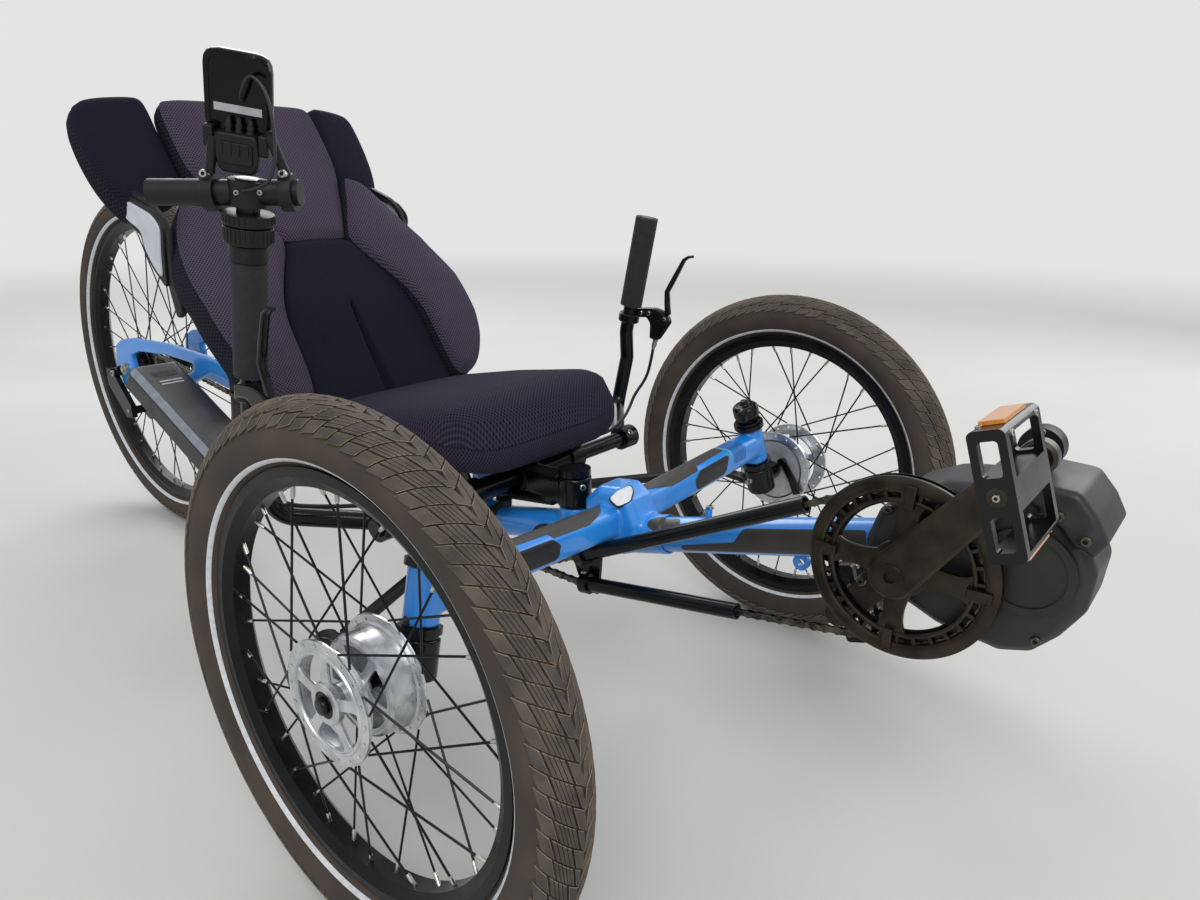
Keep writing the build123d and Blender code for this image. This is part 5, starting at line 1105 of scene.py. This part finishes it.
for x in PLUGS:
    foot, head = on_back(6, x, 22).translation, on_back(5, x, 37).translation
    turned(build, foot, head - foot, PLUG, 14, 1)
show("display_holder", build, [black_plastic, rubber_and_painted_shade], "handlebar")
build = bmesh.new()
for along in (-34, 40):
    spot = BAR_LEVEL + BAR_WAY * (along / 1000) - BAR_ACROSS * 0.0125 + Vector((0, 0, 0.0165))
    socket_bolt(build, spot, -BAR_ACROSS + Vector((0, 0, 0.2)), 4.2, 4.0)
for along in (-4, 18):
    socket_bolt(build, BAR_LEVEL + BAR_WAY * (along / 1000) - BAR_ACROSS * 0.0175, -BAR_ACROSS, 2.6, 1.6)
show("bar_clamp_bolts", build, [bolt_steel, rubber_and_painted_shade], "handlebar")

# Display lead: a thin black jacketed cable that leaves the back of the display,
# loops once in the air and goes down into the accessory bar.
LEAD_ROUTE = (
    # metres along the accessory bar, up, and forward of it
    (0.007, 0.082, 0.0039), (0.007, 0.082, 0.016), (0.020, 0.106, 0.018), (0.037, 0.088, 0.022),
    (0.040, 0.048, 0.023), (0.036, 0.014, 0.026), (0.020, 0.003, 0.028), (0.003, 0.002, 0.020),
)
lead_points = [BAR_LEVEL + BAR_WAY * a - BAR_ACROSS * c + Vector((0, 0, b)) for a, b, c in LEAD_ROUTE]
lead = cord_line("display_lead_loop", lead_points, 3.2)
# PVC jacket, drawn smooth: dull black with a soft highlight along its length.
lead.data.materials.append(surface("lead_jacket", "#1A1B1E", Roughness=0.4)[0])
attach(lead, "handlebar")
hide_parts("display_lead")

# Battery: a slim black case on the right of the rear frame, with a silver edge trim, a finger recess
# drawn as a flat patch of painted shade, and two pale charge bars at its upper end.
# Fine-grained nylon: blue-black with a dull shine.
case_nylon = grained("battery_case_nylon", "#151518", "#1E1E22", 30, (0.34, 0.48), 0.04, 0.8)
softened("battery_case", case_nylon, "frame", "black_plastic", 2.2, 8, "battery")
# Silver lacquer of the edge trim and pale print of the charge bars: both flat and smooth.
trim_silver = grained("silver_trim_lacquer", "#878D97", "#989EA8", 14, (0.3, 0.42), Metallic=0.5)
white_print = grained("pale_charge_bars", "#C4C6CB", "#D0D2D6", 5, (0.25, 0.35))
CASE_HALF = 44
CASE_END = (-940, -132, 392)
CASE_BACK, CASE_FALL = 0.91, 0.415
EDGE_TRIM = ((6, -52), (6, -33), (300, -33), (306, -52))
RECESS_SHADE = ((26, -18), (26, 24), (42, 22), (42, -16))
CHARGE_BARS = (54, 62)


def on_case(down, across):
    """Point near the battery's sloping top: down from its upper end, across to the left of its middle."""
    ahead, left, up = CASE_END
    over = max(0.0, -CASE_HALF - across)
    return at(ahead + CASE_BACK * down, left + max(-CASE_HALF, across), up - CASE_FALL * down - over)


build = bmesh.new()
film(build, eased(EDGE_TRIM, 5), on_case, ("battery",), 0.5, 4.0)
# The finger recess is not cut into the case: a flat black film in its outline is painted shade.
film(build, eased(RECESS_SHADE, 4), on_case, ("battery",), 0.4, 3.0, 1)
for down in CHARGE_BARS:
    bar = ((down, -16), (down, 22), (down + 3, 22), (down + 3, -16))
    film(build, bar, on_case, ("battery",), 0.4, 3.0, 2)
show("battery_trim", build, [trim_silver, rubber_and_painted_shade, white_print], "frame", 60)

# Seat shell edge: pale grey nylon side panel of the seat, bent round behind the
# bolster, between the hip pad and the shoulder wing.
SHELL_EDGE = ((-796, 674), (-743, 668), (-682, 652), (-661, 635), (-670, 600), (-675, 562), (-700, 584),
              (-716, 606), (-718, 628), (-752, 640), (-785, 658))
SHELL_BACK = ((-790, 690), (-742, 684), (-692, 668), (-660, 644), (-650, 610), (-652, 560), (-636, 520),
              (-658, 505), (-672, 556), (-668, 600), (-664, 634), (-684, 654), (-743, 672))
SHELL_RIM = ((-803, 682), (-742, 676), (-678, 659), (-653, 637), (-662, 600), (-668, 548), (-706, 578),
             (-723, 604), (-725, 622), (-755, 633), (-790, 650))
SHELL_PLATES = (
    # outline, distance from the trike's middle, thickness, bevel, finish: pale panel, black back, black rim
    (SHELL_EDGE, 214, 7.0, 2.0, 0),
    (SHELL_BACK, 207, 10.0, 3.0, 1),
    (SHELL_RIM, 213, 4.4, 1.5, 1),
)
# Smooth pale nylon: cool light grey with a soft shine.
shell_nylon = grained("pale_shell_nylon", "#BDC2C8", "#CBD0D5", 30, (0.28, 0.42))
for side, side_name in ((1, "left"), (-1, "right")):
    build = bmesh.new()
    for outline, out, thick, bevel, finish in SHELL_PLATES:
        plate(build, [eased(outline, 12)], facing(at(0, side * out, 0)), thick, bevel, finish)
    show(f"seat_shell_edge_{side_name}", build, [shell_nylon, black_plastic], "frame")

# Seat back: foam pads in a tight mesh cover. A purple-grey upper panel meets a
# navy centre panel at a cross seam, and the centre panel has one tapered slit.
SEAT_LINE = ((-457.0, 392.0), (-500.0, 458.0), (-546.0, 529.0), (-600.0, 608.0), (-660.0, 674.0),
             (-726.0, 743.0), (-794.0, 814.0))
SEAT_DEPTH = 34.0


def seat_way(along):
    """Point and direction on the seat's side line, along in millimetres from the crease."""
    left = along
    for index, (first, second) in enumerate(zip(SEAT_LINE[:-1], SEAT_LINE[1:])):
        first, second = Vector(first), Vector(second)
        reach = (second - first).length
        if left <= reach or index == len(SEAT_LINE) - 2:
            way = (second - first) / reach
            return first + way * left, way
        left -= reach


def seat_spot(across, along, lift):
    """Row-frame point on the seat back: across to the left, along up the back, lift towards the rider."""
    middle, way = seat_way(along)
    before, after = seat_way(along - 25)[1], seat_way(along + 25)[1]
    normal = (before + after).normalized()
    return at(middle.x + normal.y * lift, across, middle.y - normal.x * lift)


def line_distance(point, first, second):
    """Distance from a straight run, and the share of the run at which its nearest point lies."""
    run = second - first
    share = max(0.0, min(1.0, (point - first).dot(run) / run.length_squared))
    return (point - first - run * share).length, share


def pad(name, outline, place, lift, materials, edge, wall, puff, creases=(), centre=None, rings=30):
    """Stuffed pad on the frame: a crowned front, a piped seam at its border and a side wall behind.

    place(a, b, lift) gives the row-frame point and lift(a, b) the front's height. The front rounds
    off over edge, the wall is so deep, the filling lifts the front by puff. A crease is its line,
    depth, half width at its start and half width at its end."""
    rim = smooth_outline(outline)
    middle = Vector(centre) if centre else sum(rim, Vector((0, 0))) / len(rim)
    build = bmesh.new()
    weave = build.loops.layers.uv.new("weave")
    flat = {}

    def vertex(a, b, height, u=None, v=None):
        """New vertex; u and v are its place on the cloth where that isn't (a, b)."""
        made = build.verts.new(place(a, b, height))
        flat[made] = (a if u is None else u, b if v is None else v)
        return made

    def front(point):
        """Height of the pad's front at a point inside the outline."""
        gap = min(line_distance(point, here, after)[0] for here, after in zip(rim, rim[1:] + rim[:1]))
        share = min(gap / edge, 1.0)
        height = lift(point.x, point.y) + puff * (1 - math.exp(-gap / 32))
        height -= edge * 0.75 * (1 - math.sqrt(1 - (1 - share) ** 2))
        for line, depth, start_wide, end_wide in creases:
            away, share, run = min(line_distance(point, Vector(p), Vector(q)) + (i,)
                                   for i, (p, q) in enumerate(zip(line[:-1], line[1:])))
            wide = start_wide + (end_wide - start_wide) * (run + share) / (len(line) - 1)
            height -= depth * math.exp(-(away / wide) ** 2)
        return height

    inner = []
    for i in range(rings - 1, 0, -1):
        spots = [middle.lerp(point, 1 - (i / rings) ** 0.8) for point in rim]
        inner.append([vertex(spot.x, spot.y, front(spot)) for spot in spots])
    border = [vertex(p.x, p.y, front(p)) for p in rim]
    inner.append(border)
    count = len(rim)
    peak = vertex(middle.x, middle.y, front(middle))

    def skin(corners, finish):
        face = build.faces.new(corners)
        face.material_index = finish
        for loop in face.loops:
            loop[weave].uv = Vector(flat[loop.vert]) / 1000

    for i in range(count):
        skin((peak, inner[0][i], inner[0][(i + 1) % count]), 0)
    for near, far in zip(inner[:-1], inner[1:]):
        for corners in between(near, far):
            skin(corners, 0)
    travelled = [0.0]
    for here, after in zip(rim, rim[1:]):
        travelled.append(travelled[-1] + (after - here).length)
    walls = []
    for depth, out in ((1.2, -1.4), (2.6, -0.2), (wall * 0.3, 1.8), (wall * 0.65, 2.2), (wall * 0.9, 0.0),
                       (wall, -4.0)):
        ring = []
        for i, point in enumerate(rim):
            before, after = rim[i - 1], rim[(i + 1) % count]
            side = Vector(((after - before).y, -(after - before).x)).normalized()
            if side.dot(point - middle) < 0:
                side = -side
            moved = point + side * out
            ring.append(vertex(moved.x, moved.y, front(point) - depth, travelled[i], depth))
        walls.append(ring)
    for near, far in zip([border] + walls[:-1], walls):
        for corners in between(near, far):
            skin(corners, 1)
    back = vertex(middle.x, middle.y, lift(middle.x, middle.y) - wall)
    for i in range(count):
        skin((back, walls[-1][(i + 1) % count], walls[-1][i]), 1)
    made = show(name, build, materials, "frame", 50.0)
    return made


SOIL_PATCHES = 14.0  # per metre of cloth


def woven(name, low, high, cell_mm, deep, rib=1.0):
    """Three-layer spacer mesh: rows of small open cells over a soft matt yarn; the cells' insides are painted
    dark as shade.
    """
    made, tree, shader = surface(name, low, Roughness=0.92, Specular_IOR_Level=0.12)
    flat = add(tree, "ShaderNodeUVMap", uv_map="weave").outputs["UV"]
    turned_map = add(tree, "ShaderNodeMapping", {"Vector": flat, "Rotation": (0, 0, math.radians(45)),
                                                 "Scale": (1000 / cell_mm, 1000 / cell_mm * rib, 1.0)})
    cells = add(tree, "ShaderNodeTexVoronoi", {"Vector": turned_map.outputs["Vector"], "Scale": 1.0,
                                               "Randomness": 0.0}, voronoi_dimensions="2D")
    hole = add(tree, "ShaderNodeMapRange",
               {"Value": cells.outputs["Distance"], "From Min": 0.18, "From Max": 0.5}).outputs["Result"]
    soil = add(tree, "ShaderNodeTexNoise", {"Vector": flat, "Scale": SOIL_PATCHES, "Detail": 5.0})
    drift = add(tree, "ShaderNodeMix", {"Factor": soil.outputs["Fac"]}, data_type="RGBA")
    drift.inputs[6].default_value = tone(low)
    drift.inputs[7].default_value = tone(high)
    # Painted shade: the open cells are darkened to the deep colour.
    cloth = add(tree, "ShaderNodeMix", {"Factor": hole}, data_type="RGBA")
    cloth.inputs[6].default_value = tone(deep)
    tree.links.new(drift.outputs[2], cloth.inputs[7])
    tree.links.new(cloth.outputs[2], shader.inputs["Base Color"])
    bump = add(tree, "ShaderNodeBump", {"Height": hole, "Distance": 0.0006, "Strength": 0.7})
    tree.links.new(bump.outputs["Normal"], shader.inputs["Normal"])
    return made


# Purple-grey fronts, an almost black navy in the middle, and a coarser ribbed mesh on the sides; the last
# colour of each is painted shade inside its cells.
# The real cells are about 2 mm; they are drawn a little larger, as small as the render can show.
purple_mesh = woven("purple_spacer_mesh", "#4A4252", "#52495B", 3.4, "#241F2B")
navy_mesh = woven("navy_spacer_mesh", "#1B1B29", "#212131", 2.6, "#101018")
side_mesh = woven("dark_side_mesh", "#20202A", "#282833", 4.4, "#0D0D13", 0.6)


def back_lift(a, b):
    """The upper panel's sides sweep back; the lower back stays flat between the bolsters."""
    sweep = min(1.0, max(0.0, (543 - b) / 170)) * min(1.0, max(0.0, (b - 200) / 90))
    return -26 * sweep * (abs(a) / 125) ** 2


def both_sides(half):
    """Whole outline of a panel from its left half, which starts and ends on the seat's middle."""
    return half + tuple((-a, b) for a, b in reversed(half[1:-1]))


UPPER_PANEL = ((0, 549), (100, 549), (126, 545), (131, 522), (131, 460), (128, 425), (113, 384),
               (87, 331), (67, 295), (55, 272), (48, 270), (0, 270))
pad("seat_upper_panel", both_sides(UPPER_PANEL), seat_spot, back_lift, [purple_mesh, side_mesh],
    edge=12.0, wall=SEAT_DEPTH, puff=5.0)
CENTRE_PANEL = ((0, 268), (50, 268), (58, 262), (70, 240), (94, 200), (115, 158), (123, 120), (124, 60),
                (130, -6), (120, -22), (0, -22))
SLIT = (((0, 150), (0, 70), (2, -12)), 13.0, 2.2, 7.5)
centre_pad = pad("seat_centre_panel", both_sides(CENTRE_PANEL), seat_spot, back_lift, [navy_mesh, navy_mesh],
                 edge=9.0, wall=SEAT_DEPTH, puff=4.0, creases=(SLIT,), centre=(0, 120))
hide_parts("seat_back_cushion")


# Side bolsters: foam lobes that rise from the panel's edge and wrap the rider's
# hips; purple fronts with a dark mesh side wall, joined by a piped seam.
BOLSTER = ((114, 384), (88, 331), (58, 274), (62, 252), (94, 198), (115, 156), (124, 118), (124, 60),
           (130, 6), (146, -4), (182, 14), (204, 46), (215, 78), (223, 130), (224, 178), (220, 225),
           (210, 268), (196, 312), (176, 352), (150, 382), (120, 394))
BOLSTER_RISE = ((0, 12.0), (55, 21.0), (100, 22.0), (177, 10.0), (221, -5.0), (270, -19.0), (319, -33.0),
                (355, -42.0), (400, -42.0))


def bolster_lift(a, b):
    """Rises from the panel's plane at the inner edge to the measured height at the outer edge."""
    b = max(0.0, min(399.9, b))
    for (low, low_rise), (high, high_rise) in zip(BOLSTER_RISE[:-1], BOLSTER_RISE[1:]):
        if low <= b < high:
            rise = low_rise + (high_rise - low_rise) * (b - low) / (high - low)
    share = max(0.0, min(1.0, (abs(a) - 60) / 150))
    return 3 + rise * share ** 1.4 + 12 * math.sin(math.pi * share)


for side, name in ((1, "left"), (-1, "right")):
    bolster = pad(f"seat_bolster_{name}", [(side * a, b) for a, b in BOLSTER], seat_spot, bolster_lift,
                  [purple_mesh, side_mesh], edge=14.0, wall=52.0, puff=5.0,
                  centre=(side * 152, 180), rings=26)
    if side > 0:
        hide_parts("seat_bolsters")

# Shoulder wings: thick rounded foam pads in the same navy mesh, sewn with a dark
# side wall, that sweep back beside the upper panel.
WING = ((139, 552), (137, 500), (133, 450), (130, 424), (142, 412), (168, 402), (200, 386), (216, 392),
        (236, 440), (243, 500), (240, 556), (222, 574), (150, 568))


def wing_lift(a, b):
    """Leans back towards the wing's outer side, and most at its lower end."""
    low = max(0.0, min(1.0, (550 - b) / 140))
    return -10 - 36 * low - 24 * ((abs(a) - 134) / 104) * (1 - 0.4 * low)


for side, name in ((1, "left"), (-1, "right")):
    wing = pad(f"seat_wing_{name}", [(side * a, b) for a, b in WING], seat_spot, wing_lift,
               [navy_mesh, side_mesh], edge=20.0, wall=34.0, puff=6.0)
    if side > 0:
        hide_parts("seat_wings")

# Seat base: one thick foam pad with a rolled front edge, sewn into a tight cover
# of the same kind of mesh with a piped seam round its top.
BASE_LINE = ((-470.0, 396.0), (-452.0, 400.0), (-300.0, 430.0), (-190.0, 447.0), (-165.0, 446.0),
             (-140.0, 436.0), (-126.0, 420.0))
BASE = ((-466, 0), (-466, 120), (-452, 158), (-400, 172), (-300, 173), (-200, 172), (-158, 164),
        (-134, 138), (-124, 80), (-122, 0))


def base_height(ahead):
    """Height of the pad's top line above the floor, at a place ahead."""
    ahead = max(BASE_LINE[0][0], min(BASE_LINE[-1][0], ahead))
    for (first, low), (second, high) in zip(BASE_LINE[:-1], BASE_LINE[1:]):
        if first <= ahead <= second:
            return low + (high - low) * (ahead - first) / (second - first)
    return BASE_LINE[-1][1]


def base_spot(a, b, lift):
    """Row-frame point on the base: ahead, to the left, lift above its top line."""
    return at(a, b, base_height(a) + lift)


def base_lift(a, b):
    """The top falls off towards both long sides."""
    return -6 - 12 * (abs(b) / 172) ** 4


# Dark grey-purple mesh, finer than on the back; its last colour is painted shade inside its cells.
base_mesh = woven("base_spacer_mesh", "#302B3C", "#383244", 3.0, "#15121C", 0.75)
base_pad = pad("seat_base_pad", BASE + tuple((a, -b) for a, b in reversed(BASE[1:-1])), base_spot, base_lift,
               [base_mesh, base_mesh], edge=30.0, wall=34.0, puff=8.0,
               centre=(-300, 0), rings=34)
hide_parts("seat_base_cushion")
